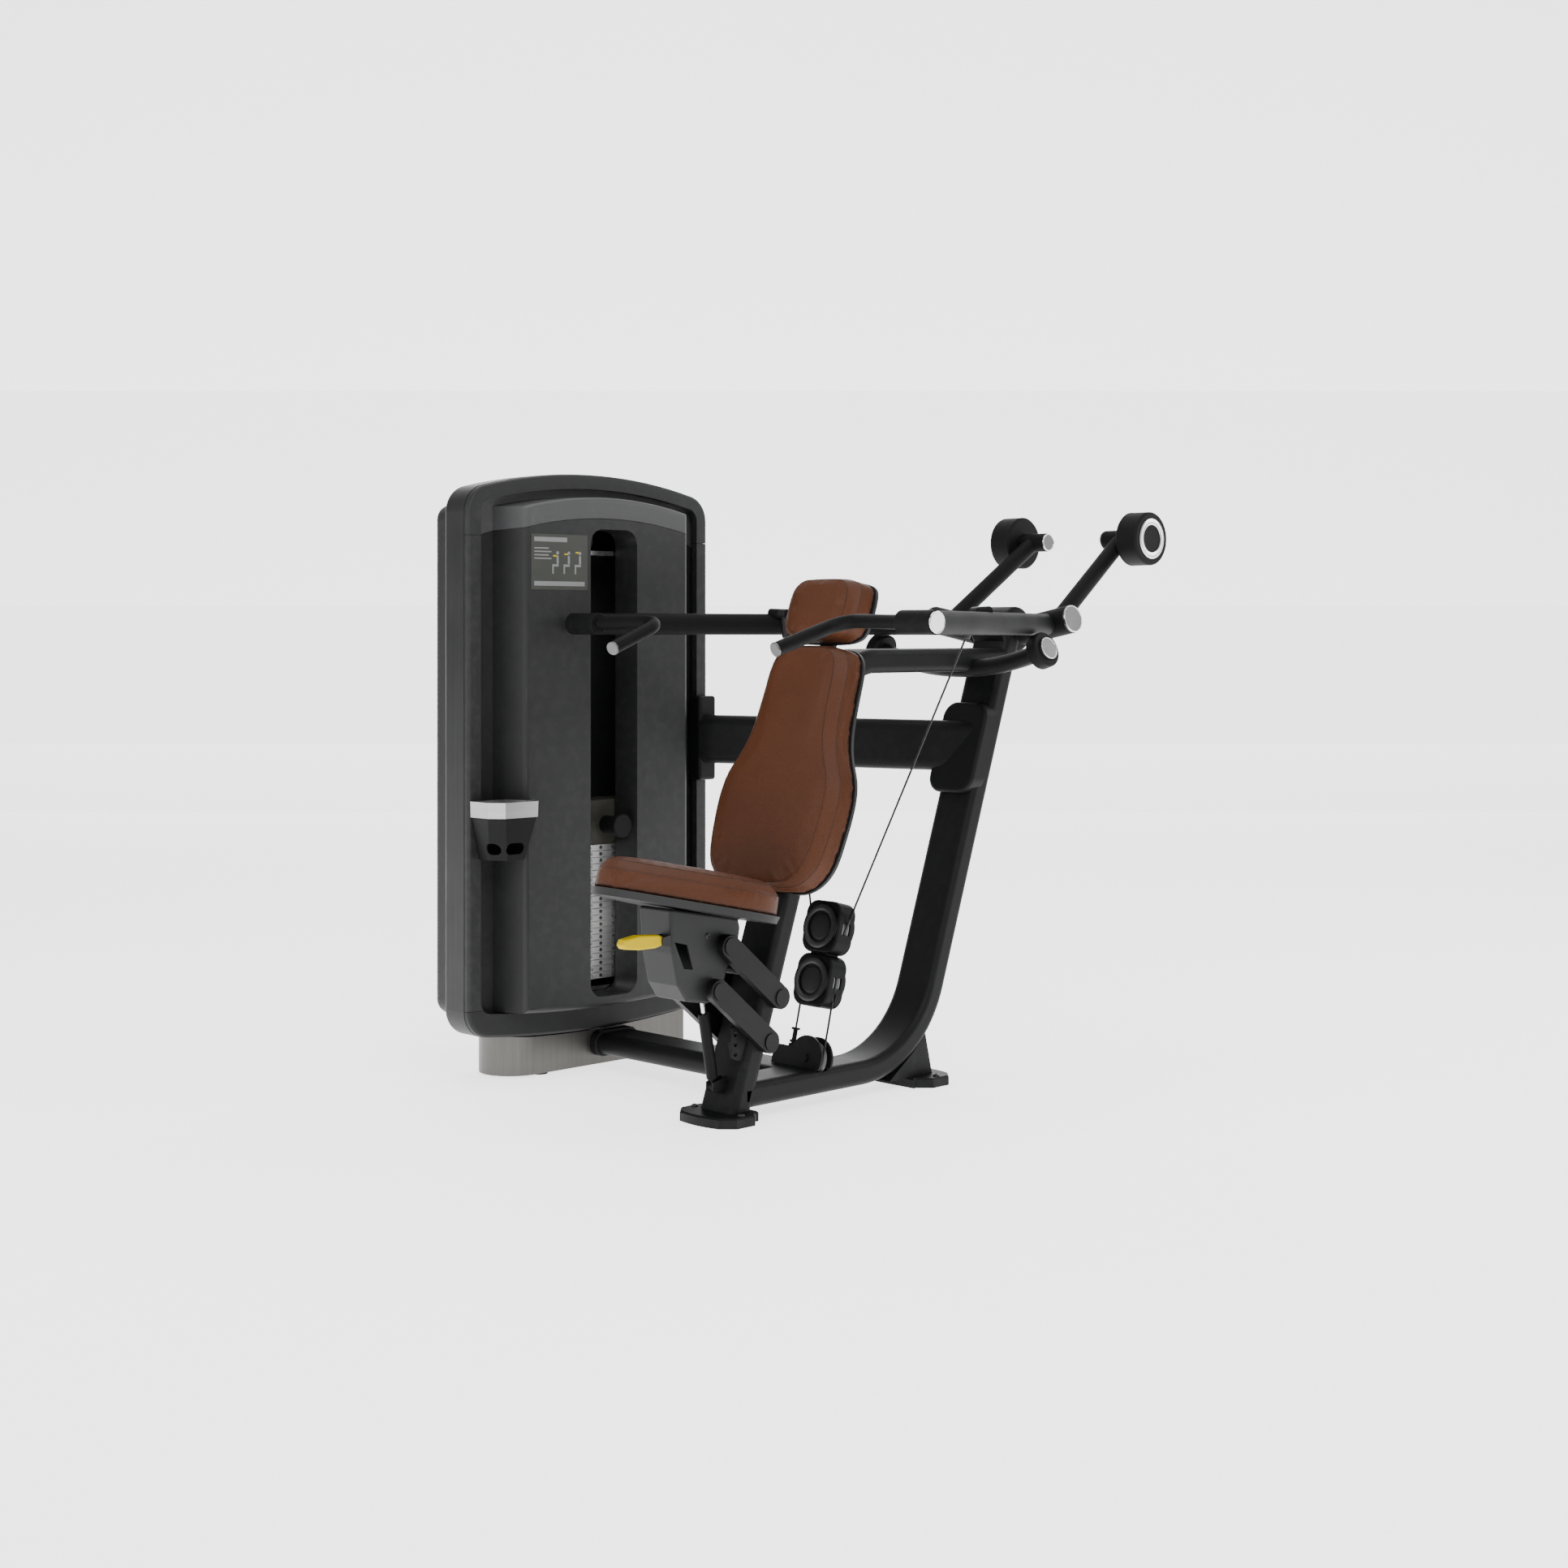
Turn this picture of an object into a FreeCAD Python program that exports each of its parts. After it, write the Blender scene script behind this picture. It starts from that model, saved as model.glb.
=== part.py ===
import FreeCAD, Part

import math
import os

V = FreeCAD.Vector

# Selectorized shoulder press machine.  Millimetres, +Z up.  The user sits facing -Y, the weight
# tower stands on the -X side.  Everything is laid out with X = 0 in the seat's middle plane and
# Y = 0 at the foot of the front post; save() moves it so that the box's middle is the origin.
ORIGIN_X = -144.0
ORIGIN_Y = 545.8

# welded frame: flat-oval tube bent in the plane X = 0
LEAN = math.radians(19.0)            # backward lean of front post, upright and back pads
TUBE_W, TUBE_T, TUBE_R, WALL = 124.0, 62.0, 18.0, 3.0
POST_Y0 = 6.0                        # post centre line at floor level
UPRIGHT_Y0 = 633.5                   # upright centre line at floor level
RAIL_Z, TOP_Z = 62.0, 1108.0         # centre heights of floor rail and top tube
POST_BEND, RAIL_BEND = 150.0, 290.0
FOOT_X, FOOT_Y, FOOT_T, FOOT_CUT = 200.0, 124.0, 25.0, 32.0
FRONT_FOOT_Y, REAR_FOOT_Y = -10.0, 692.0

# press arms: V-shaped pivots above the upright
TILT = math.radians(11.0)            # pivots rise outward by this angle
PIVOT = V(243.0, 1053.0, 1217.0)     # middle of the right sleeve's outer end
PIVOT_R, SHAFT_R, RUN_FIT = 38.0, 22.0, 0.05
SLEEVE_L, HUB_R, HUB_HALF, HUB_LIFT = 168.0, 62.0, 58.0, 20.0
SHAFT_L, SHAFT_SET_IN = 190.0, 8.0   # shaft from the sleeve's outer end, and how far it stays inside
ARM_R = 28.5
SOCKET_Y, SOCKET_Z = 64.0, 1204.0
SOCKET_IN, SOCKET_OUT = 532.0, 638.0
GRIP_R, RUBBER_R = 13.0, 17.0
GRIP_END = V(288.0, -98.0, 1141.5)
GRIP_BEND = V(322.0, 98.0, 1209.0)
WEIGHT_R, WEIGHT_IN, WEIGHT_OUT = 74.0, 190.0, 261.0
WEIGHT_Y, WEIGHT_Z = 1387.0, 1441.0
AXLE_R, AXLE_IN = 26.5, 106.0
LUG = V(340.0, 551.0, 1232.0)        # middle of the cable eye on the right arm's pin
LEG_AXIS = V(0.9924, -0.1195, 0.0300).normalize()
EYE_R, EYE_HALF, EYE_PIN_R = 13.0, 12.0, 6.0
BOLT_TOP = 71.0                      # anchor bolt's top above the floor wheel's middle

# floating double pulley, its line leans back
DRAW = math.radians(14.0)
PULLEY_R, GROOVE_R, PULLEY_T, CABLE_R = 59.0, 55.0, 22.0, 2.6
FLOAT_UP = V(0.0, 375.4, 432.0)
FLOAT_GAP = 135.0                    # between the two pulley centres
FLOOR_PULLEY = V(14.0, 295.6, 112.0)
FLOOR_RIM_R, FLOOR_GROOVE_R = 45.0, 41.0

# weight tower
FACE_X, BAND_X, BACK_X = -722.0, -832.0, -930.0
TOWER_Y0, TOWER_Y1 = -215.0, 622.0
TOWER_Z0, TOWER_Z1, ARCH, BOW = 134.0, 1552.0, 57.0, 28.0
RIM, KICK = 40.0, 58.0
PANEL_X, PANEL_FLOOR_X = -660.0, -762.0
PANEL_Y0, PANEL_Y1 = -77.0, 490.0
PANEL_Z0, PANEL_Z1 = 188.0, 1556.0
SLOT_Y0, SLOT_Y1, SLOT_Z0, SLOT_Z1, SLOT_R = 142.0, 306.0, 204.0, 1458.0, 40.0
CARD_Y, CARD_Z = (-60.0, 130.0), (1294.0, 1440.0)
STACK_Y, STACK_X = 261.0, -812.0     # middle of the plates
PLATE_X, PLATE_Y, PLATE_T, PLATE_PITCH, PLATES = 104.0, 300.0, 17.1, 17.5, 21
STACK_BASE_Z, STACK_Z0, STACK_TOP_Z = 196.0, 234.5, 1392.0
HEAD_H, PIN_UP, PIN_HOLE_R = 122.0, 56.0, 5.5
ROD_R, ROD_HALF = 9.0, 120.0
TOWER_RIM_R, TOWER_GROOVE_R = 49.0, 45.0
TOWER_WHEEL_X = STACK_X - TOWER_GROOVE_R
TOWER_TOP_Z = 1440.0
TOWER_LOW_Z = FLOOR_PULLEY.z - FLOOR_GROOVE_R * math.cos(DRAW) + TOWER_GROOVE_R

# accessory bin on the tower's rim
TRAY_Y0, TRAY_Y1, TRAY_X1, TRAY_Z0, TRAY_Z1 = -210.0, -54.0, -612.0, 594.0, 704.0

# seat linkage (side view points are Y, Z)
LINK_UP_POST, LINK_UP_SEAT = (124.0, 293.0), (-45.0, 434.0)
LINK_LO_POST, LINK_LO_SEAT = (88.0, 190.0), (-81.0, 331.0)
LINK_X0, LINK_X1, LINK_R, PIN_R, STUB_X = 65.0, 86.0, 28.0, 9.0, 42.0
SEAT_TILT = math.radians(12.7)
SPRING_FOOT, SPRING_TOP = (-24.0, 86.0), (-80.0, 395.0)
LEVER_PIVOT, LEVER_PIN_R = (-225.0, 460.0), 4.0


def box(x0, x1, y0, y1, z0, z1):
    return Part.makeBox(x1 - x0, y1 - y0, z1 - z0, V(x0, y0, z0))


def cyl(start, end, radius):
    return Part.makeCylinder(radius, (end - start).Length, start, end - start)


def ring(start, end, outer, inner):
    return cyl(start, end, outer).cut(cyl(start, end, inner))


def fuse(shapes):
    body = shapes[0]
    for other in shapes[1:]:
        body = body.fuse(other)
    return body.removeSplitter()


def solids(shapes):
    found = []
    for shape in shapes:
        found += shape.Solids
    return found


def largest(shape):
    return max(shape.Solids, key=lambda s: s.Volume)


def mirror(shape):
    return shape.mirror(V(0, 0, 0), V(1, 0, 0))


def both_sides(shape):
    return [shape, mirror(shape)]


def bent_wire(points, radii):
    """Straight runs joined by tangent arcs at the inner points."""
    edges, last = [], points[0]
    for before, corner, after, radius in zip(points, points[1:], points[2:], radii):
        a, b = (before - corner).normalize(), (after - corner).normalize()
        half = a.getAngle(b) / 2
        setback = radius / math.tan(half)
        start, end = corner + a * setback, corner + b * setback
        middle = corner + (a + b).normalize() * (radius / math.sin(half) - radius)
        edges += [Part.makeLine(last, start), Part.Arc(start, middle, end).toShape()]
        last = end
    edges.append(Part.makeLine(last, points[-1]))
    return Part.Wire(edges)


def circle_at(point, direction, radius):
    return Part.Wire([Part.makeCircle(radius, point, direction)])


def oval_wire(centre, wide, thick, w, t, r):
    """Rounded rectangle, w along the unit vector wide and t along thick."""
    corners = [(1, 1), (-1, 1), (-1, -1), (1, -1)]
    edges, rim = [], []
    for i, (a, b) in enumerate(corners):
        mid = centre + wide * (a * (w / 2 - r)) + thick * (b * (t / 2 - r))
        first, second = (wide * a, thick * b) if i % 2 == 0 else (thick * b, wide * a)
        start, end = mid + first * r, mid + second * r
        rim.append((start, mid + (first + second).normalize() * r, end))
    for i, (start, mid, end) in enumerate(rim):
        edges.append(Part.Arc(start, mid, end).toShape())
        edges.append(Part.makeLine(end, rim[(i + 1) % 4][0]))
    return Part.Wire(edges)


def oval_sweep(points, radii, w, t, r):
    """Flat-oval bar bent in the plane X = 0."""
    run = (points[1] - points[0]).normalize()
    thick = V(0, -run.z, run.y)
    profile = oval_wire(points[0], V(1, 0, 0), thick, w, t, r)
    return bent_wire(points, radii).makePipeShell([profile], True, False)


def oval_tube(points, radii):
    outer = oval_sweep(points, radii, TUBE_W, TUBE_T, TUBE_R)
    inner = oval_sweep(points, radii, TUBE_W - 2 * WALL, TUBE_T - 2 * WALL, TUBE_R - WALL)
    return outer, outer.cut(inner)


def oval_bar(start, end, wide, w, t, r):
    thick = wide.cross((end - start).normalize())
    face = Part.Face(oval_wire(start, wide, thick, w, t, r))
    return face.extrude(end - start)


def side_plate(points, x0, x1):
    """Polygon of (y, z) points extruded along X."""
    wire = Part.makePolygon([V(x0, y, z) for y, z in points + points[:1]])
    return Part.Face(wire).extrude(V(x1 - x0, 0, 0))


def soften(shape, radius, pick=None):
    edges = [e for e in shape.Edges if pick is None or pick(e)]
    return shape.makeFillet(radius, edges)


def save(name, shapes):
    bodies = solids(shapes if isinstance(shapes, list) else [shapes])
    shape = bodies[0].copy() if len(bodies) == 1 else Part.makeCompound(bodies).copy()
    shape.translate(V(-ORIGIN_X, -ORIGIN_Y, 0))
    shape.exportStep("parts/" + name + ".step")
    size = shape.BoundBox
    print("%-22s %2d solids %s %8.1f %8.1f %8.1f  %8.1f %8.1f %8.1f" % (
        name, len(bodies), "ok " if shape.isValid() else "BAD",
        size.XMin, size.YMin, size.ZMin, size.XMax, size.YMax, size.ZMax))
    return bodies


def lean_point(x, up, out):
    """Point of the leaning back frame: up along the post, out towards the user."""
    return V(x, POST_Y0 + up * math.sin(LEAN) - out * math.cos(LEAN),
             up * math.cos(LEAN) + out * math.sin(LEAN))


# ---------------------------------------------------------------- welded frame
def shaft_axis():
    return V(math.cos(TILT), 0, math.sin(TILT))


def hub_solid():
    """Round block on the upright's top, with a shaft for each arm."""
    height = PIVOT.z - PIVOT.x * math.tan(TILT) + HUB_LIFT
    block = cyl(V(-HUB_HALF, PIVOT.y, height), V(HUB_HALF, PIVOT.y, height), HUB_R)
    shaft = cyl(PIVOT - shaft_axis() * SHAFT_L, PIVOT - shaft_axis() * SHAFT_SET_IN, SHAFT_R)
    return fuse([soften(block, 8.0)] + both_sides(shaft))


def build_frame():
    slope = math.tan(LEAN)
    top_y = POST_Y0 + slope * TOP_Z
    hub = hub_solid()
    front_outer, front = oval_tube(
        [V(0, POST_Y0 - 40 * slope, -40), V(0, top_y, TOP_Z), V(0, 1000, TOP_Z)], [POST_BEND])
    rear_outer, rear = oval_tube(
        [V(0, 30, RAIL_Z), V(0, UPRIGHT_Y0 + slope * RAIL_Z, RAIL_Z),
         V(0, UPRIGHT_Y0 + slope * 1190, 1190)], [RAIL_BEND])
    floor = box(-200, 200, -200, 900, -200, FOOT_T)
    front = front.cut(fuse([floor, rear_outer]))
    rear = rear.cut(fuse([front_outer, hub]))
    front, rear = largest(front), largest(rear)
    y = REAR_FOOT_Y
    gusset = side_plate([(y - 144, FOOT_T), (y + 20, FOOT_T), (y - 6, 132), (y - 52, 90)], -50, 50)
    rear_foot = largest(fuse([foot_plate(y, -1), gusset.cut(rear_outer)]))
    feet = [foot_plate(FRONT_FOOT_Y, 1), rear_foot]
    return front, front_outer, rear, rear_outer, hub, feet


def foot_plate(y, bulge):
    """Eight-sided plate whose long edge bulges towards +Y (1) or -Y (-1)."""
    x, half, cut = FOOT_X / 2, FOOT_Y / 2, FOOT_CUT
    points = [(-x, half - cut), (-x + cut, half), (x - cut, half), (x, half - cut),
              (x, -half + cut), (x - cut, -half), (-x + cut, -half), (-x, -half + cut)]
    wire = Part.makePolygon([V(a, y + b, 0) for a, b in points + points[:1]])
    plate = Part.Face(wire).extrude(V(0, 0, FOOT_T))
    centre = V(0, y + bulge * 190, 0)
    nose = cyl(centre, centre + V(0, 0, FOOT_T), 190 + half + 8)
    slab = box(-x + cut, x - cut, y - half - 10, y + half + 10, 0, FOOT_T)
    plate = fuse([plate, slab.common(nose)])
    return plate.makeChamfer(4.0, [e for e in plate.Edges
                                   if e.BoundBox.ZMin > FOOT_T - 0.1])


def build_cross_rail(rear_outer):
    """Floor rail from the pedestal to the main rail, hollow for the stack cable."""
    y, z = 286.0, 64.0
    start, end = V(-745, y, z), V(-30, y, z)
    wide = V(0, 1, 0)
    outer = oval_bar(start, end, wide, 140, 57, 26)
    inner = oval_bar(start, end, wide, 134, 51, 23)
    collar = oval_bar(start, start + V(26, 0, 0), wide, 154, 70, 32)
    rail = fuse([outer, soften(collar, 4.0, lambda e: e.BoundBox.XMin > -720.5)]).cut(inner)
    return largest(rail.cut(rear_outer))


def build_beam(rear_outer):
    """Oval beam from the tower bracket to the saddle on the upright's front face."""
    start, end = V(-715, 601, 881), V(30, 922, 875)
    beam = oval_bar(start, end, V(0, 0, 1), 136, 62, 28)
    hollow = oval_bar(start, end, V(0, 0, 1), 130, 56, 25)
    saddle = saddle_solid(rear_outer)
    bracket = soften(box(-752, -700, 573, 637, 765, 1002), 9.0)
    tube = beam.cut(fuse([bracket, saddle, rear_outer]))
    tube = largest(tube).cut(hollow)
    return largest(tube), saddle, bracket


def saddle_solid(rear_outer):
    """Plate with round corners that wraps the upright's front face."""
    low, high, thick, corner = 752.0, 992.0, 26.0, 42.0

    def face(z):
        return UPRIGHT_Y0 + math.tan(LEAN) * z - TUBE_T / 2 / math.cos(LEAN)

    def in_front(edge):
        ends = (edge.valueAt(edge.FirstParameter), edge.valueAt(edge.LastParameter))
        return all(abs(face(end.z) - thick - end.y) < 0.01 for end in ends)

    profile = [(face(low) + 30, low), (face(high) + 30, high),
               (face(high) - thick, high), (face(low) - thick, low)]
    plate = side_plate(profile, -84, 70)
    plate = soften(plate, corner, lambda e: e.BoundBox.ZLength < 0.01 and e.BoundBox.XLength < 0.01)
    return largest(soften(plate, 10.0, in_front).cut(rear_outer))


# ---------------------------------------------------------------- rest stops of the arms
def build_stops(front_outer):
    centre_x, rise_angle = 285.0, math.radians(19.5)
    radius = centre_x / math.sin(rise_angle)
    y, low = 877.0, 1084.0
    middle = V(0, y, low + radius)

    def on_arc(angle):
        return middle + V(radius * math.sin(angle), 0, -radius * math.cos(angle))

    end = rise_angle - 17.0 / radius
    arc = Part.Wire([Part.Arc(on_arc(-end), on_arc(0), on_arc(end)).toShape()])
    bow = arc.makePipeShell([circle_at(on_arc(-end), V(math.cos(end), 0, -math.sin(end)), 23.0)],
                            True, False)
    out = V(math.cos(rise_angle), 0, math.sin(rise_angle))
    at = on_arc(rise_angle)
    stop = soften(cyl(at - out * 16.5, at + out * 19, 47.0), 6.0)
    cap = soften(cyl(at + out * 19.3, at + out * 26, 30.0), 2.0,
                 lambda e: e.BoundBox.Center.x > (at + out * 24).x)
    return largest(bow.cut(front_outer)), both_sides(stop), both_sides(cap)


# ---------------------------------------------------------------- press arms (right one)
def build_arm():
    axis = shaft_axis()
    inner_end = PIVOT - axis * SLEEVE_L
    sleeve = cyl(inner_end, PIVOT, PIVOT_R)
    joint = PIVOT - axis * 75
    socket_in, socket_out = V(SOCKET_IN, SOCKET_Y, SOCKET_Z), V(SOCKET_OUT, SOCKET_Y, SOCKET_Z)
    socket = soften(cyl(socket_in, socket_out, ARM_R), 5.0,
                    lambda e: e.BoundBox.XMax < SOCKET_IN + 1)
    front = V(SOCKET_OUT - 48, SOCKET_Y, SOCKET_Z)
    arm = cyl(joint, front, ARM_R)
    axle_in = V(AXLE_IN, WEIGHT_Y, WEIGHT_Z)
    axle = cyl(axle_in, V(WEIGHT_IN, WEIGHT_Y, WEIGHT_Z), AXLE_R)
    tail = cyl(PIVOT - axis * 54, V(158, WEIGHT_Y, WEIGHT_Z), 23.0)
    stub = cyl(LUG + LEG_AXIS * 46, LUG + LEG_AXIS * (EYE_HALF + 1), 13.0)
    eye_pin = cyl(LUG + LEG_AXIS * 15, LUG - LEG_AXIS * 15, EYE_PIN_R)
    eye_disc = cyl(LUG - LEG_AXIS * (EYE_HALF + 0.8), LUG - LEG_AXIS * (EYE_HALF + 5), 10.0)
    bore = cyl(inner_end - axis, PIVOT - axis * 6, SHAFT_R + RUN_FIT)
    end_hole = cyl(V(SOCKET_OUT - 4, SOCKET_Y, SOCKET_Z), V(SOCKET_OUT + 1, SOCKET_Y, SOCKET_Z),
                   ARM_R - 4)
    frame = fuse([sleeve, arm, socket, axle, tail, stub, eye_pin, eye_disc]).cut(fuse([bore, end_hole]))
    pivot_cap = soften(cyl(PIVOT + axis * 0.4, PIVOT + axis * 7, PIVOT_R - 1), 2.0,
                       lambda e: e.BoundBox.Center.x > (PIVOT + axis * 5).x)
    axle_cap = soften(cyl(axle_in - V(4, 0, 0), axle_in - V(0.3, 0, 0), AXLE_R - 1), 1.5,
                      lambda e: e.BoundBox.XMax < AXLE_IN - 3)
    socket_cap = cyl(V(SOCKET_OUT - 3.5, SOCKET_Y, SOCKET_Z), V(SOCKET_OUT + 4, SOCKET_Y, SOCKET_Z),
                     ARM_R - 4.3)
    socket_cap = soften(socket_cap, 1.5, lambda e: e.BoundBox.XMin > SOCKET_OUT + 3)
    centre = V(WEIGHT_OUT, WEIGHT_Y, WEIGHT_Z)
    face_ring = ring(centre - V(4, 0, 0), centre + V(1.5, 0, 0), 56.0, 38.0)
    start = V(WEIGHT_IN + 0.3, WEIGHT_Y, WEIGHT_Z)
    weight = soften(cyl(start, centre, WEIGHT_R), 7.0)
    weight = weight.cut(ring(centre - V(4.2, 0, 0), centre + V(2, 0, 0), 56.2, 37.8))
    grip, cap = build_grip()
    return {"arm": [frame], "caps": [pivot_cap, axle_cap, socket_cap, face_ring],
            "counterweight": [weight], "grip": [grip], "grip_cap": [cap],
            "cable_leg": [build_leg()]}


def build_grip():
    start = V(SOCKET_IN + 15, SOCKET_Y, SOCKET_Z)
    inside = cyl(V(SOCKET_IN - 0.3, SOCKET_Y, SOCKET_Z), V(SOCKET_OUT, SOCKET_Y, SOCKET_Z), 60.0)
    along = (GRIP_END - GRIP_BEND).normalize()
    stop = GRIP_END - along * 5
    aim = start + (GRIP_BEND - start).normalize() * 8
    rubber = bent_wire([start, GRIP_BEND, stop], [58.0]).makePipeShell(
        [circle_at(start, aim - start, RUBBER_R)], True, False)
    cap = cyl(stop + along * 0.3, GRIP_END + along * 2, RUBBER_R + 0.5)
    return largest(rubber.cut(inside)), soften(cap, 2.0)


def leg_geometry():
    """Tangent point of the right arm's cable on the upper floating pulley."""
    reach = LUG - FLOAT_UP
    rise = V(0, reach.y, reach.z)
    lean = math.atan2(reach.x, rise.Length) - math.asin(GROOVE_R / reach.Length)
    tangent = wheel_point(lean, rise.normalize())
    return lean, tangent, (LUG - tangent).normalize()


def wheel_point(lean, up):
    """Where a cable that leans outward by lean meets the upper floating pulley."""
    return FLOAT_UP + V(1, 0, 0) * (GROOVE_R * math.cos(lean)) - up * (GROOVE_R * math.sin(lean))


def build_leg():
    _, tangent, toward = leg_geometry()
    eye = cyl(LUG - LEG_AXIS * EYE_HALF, LUG + LEG_AXIS * EYE_HALF, EYE_R)
    neck = cyl(LUG, LUG - toward * 24, 8.0)
    rod = cyl(LUG - toward * 22, LUG - toward * 70, 10.5)
    rod = soften(rod, 4.0, lambda e: e.BoundBox.ZMax < (LUG - toward * 60).z)
    cable = cyl(LUG - toward * 66, tangent + toward * 62, CABLE_R)
    leg = fuse([eye, neck, rod, cable])
    return leg.cut(cyl(LUG - LEG_AXIS * 20, LUG + LEG_AXIS * 20, EYE_PIN_R + RUN_FIT))


# ---------------------------------------------------------------- floating double pulley
def draw_up():
    return V(0, math.sin(DRAW), math.cos(DRAW))


def draw_axis():
    return V(0, math.cos(DRAW), -math.sin(DRAW))


def pulley(centre, axis, rim, groove, bore):
    """Grooved wheel: the groove's floor is 3 mm inside the cable's centre line."""
    half, floor = PULLEY_T / 2, groove - 3.0
    profile = [(bore, -half), (rim, -half), (rim, -half + 3), (floor, -2.6), (floor, 2.6),
               (rim, half - 3), (rim, half), (bore, half)]
    wire = Part.makePolygon([V(r, 0, h) for r, h in profile + profile[:1]])
    wheel = Part.Face(wire).revolve(V(0, 0, 0), V(0, 0, 1), 360)
    wheel.Placement = FreeCAD.Placement(centre, FreeCAD.Rotation(V(0, 0, 1), axis))
    return wheel


def local_prism(centre, wire_points, radius, depth):
    """Rounded polygon in the floating pulleys' plane, depth thick, middle at centre."""
    up, axis = draw_up(), draw_axis()
    points = [centre + V(1, 0, 0) * x + up * w - axis * (depth / 2) for x, w in wire_points]
    solid = Part.Face(Part.makePolygon(points + points[:1])).extrude(axis * depth)
    if radius:
        solid = soften(solid, radius, lambda e: abs(e.Length - depth) < 1e-3)
    return solid


def on_end_face(edge, centre, axis, half):
    """True for the edges that lie wholly in one of a block's two end faces."""
    offsets = [(edge.valueAt(t) - centre).dot(axis)
               for t in (edge.FirstParameter, edge.LastParameter)]
    return all(abs(abs(h) - half) < 1e-3 for h in offsets) and abs(offsets[0] - offsets[1]) < 1e-3


def build_float():
    up, axis = draw_up(), draw_axis()
    depth, cavity, half_x, half_w = 62.0, 30.0, 60.0, 66.0
    low = FLOAT_UP - up * FLOAT_GAP
    shell = []
    square = [(-half_x, -half_w), (half_x, -half_w), (half_x, half_w), (-half_x, half_w)]
    for centre in (FLOAT_UP, low):
        block = local_prism(centre, square, 34.0, depth)
        block = soften(block, 7.0, lambda e, c=centre: on_end_face(e, c, axis, depth / 2))
        for side in (-1, 1):
            face = centre + axis * (side * depth / 2)
            block = block.fuse(ring(face - axis * (side * 2), face + axis * (side * 4), 57, 38))
        shell.append(block)
    neck = local_prism(FLOAT_UP - up * (FLOAT_GAP / 2), [(-26, -12), (26, -12), (26, 12), (-26, 12)],
                       0, 46.0)
    cowl = fuse(shell + [neck])
    for centre in (FLOAT_UP, low):
        a, b = centre - axis * (cavity / 2), centre + axis * (cavity / 2)
        cowl = cowl.cut(cyl(a, b, PULLEY_R + 2.6))
    ways = [cyl(low + V(x, 0, 0), low + V(x, 0, 0) - up * 90, CABLE_R + 3) for x in (-GROOVE_R, GROOVE_R)]
    cowl = cowl.cut(fuse(ways))
    pins = [cyl(c - axis * (depth / 2 - 3), c + axis * (depth / 2 - 3), 8.0)
            for c in (FLOAT_UP, low)]
    cowl = fuse([cowl] + pins)
    wheels = [pulley(c, axis, PULLEY_R, GROOVE_R, 8.0 + RUN_FIT) for c in (FLOAT_UP, low)]
    return cowl, wheels


def build_float_cables():
    """Wrap of the arm cable under the upper wheel, and the draw cable over the lower one."""
    line, lean = draw_up(), leg_geometry()[0]
    right = wheel_point(lean, line)
    left = V(-right.x, right.y, right.z)
    away = V(math.sin(lean), 0, 0) + line * math.cos(lean)
    tail = V(-away.x, away.y, away.z)
    start = right + away * 54
    wire = Part.Wire([Part.makeLine(start, right),
                      Part.Arc(right, FLOAT_UP - line * GROOVE_R, left).toShape(),
                      Part.makeLine(left, left + tail * 54)])
    wrap = wire.makePipeShell([circle_at(start, away, CABLE_R)], True, False)
    low = FLOAT_UP - line * FLOAT_GAP
    foot = (low.z - FLOOR_PULLEY.z) / line.z
    right, far = low + V(GROOVE_R, 0, 0), low - V(GROOVE_R, 0, 0)
    start = right - line * (foot - 0.6)
    legs = Part.Wire([Part.makeLine(start, right),
                      Part.Arc(right, low + line * GROOVE_R, far).toShape(),
                      Part.makeLine(far, far - line * (foot - BOLT_TOP - 1))])
    draw = legs.makePipeShell([circle_at(start, line, CABLE_R)], True, False)
    return [wrap, draw]


def build_cable_run():
    """Fixed route from the floor wheel through the cross rail and over the tower's top wheel."""
    start = FLOOR_PULLEY + V(FLOOR_GROOVE_R, 0, 0)
    turn = start - draw_up() * FLOOR_GROOVE_R
    rising = TOWER_WHEEL_X - TOWER_GROOVE_R
    low = bent_wire([start, turn, V(rising, STACK_Y, turn.z), V(rising, STACK_Y, TOWER_TOP_Z)],
                    [FLOOR_GROOVE_R, TOWER_GROOVE_R])
    crown = Part.Arc(V(rising, STACK_Y, TOWER_TOP_Z),
                     V(TOWER_WHEEL_X, STACK_Y, TOWER_TOP_Z + TOWER_GROOVE_R),
                     V(STACK_X, STACK_Y, TOWER_TOP_Z)).toShape()
    route = Part.Wire(low.Edges + [crown])
    run = route.makePipeShell([circle_at(start, draw_up(), CABLE_R)], True, False)
    print("cable run %.1f mm, volume share %.4f" % (
        route.Length, run.Volume / (math.pi * CABLE_R ** 2 * route.Length)))
    return run


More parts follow.
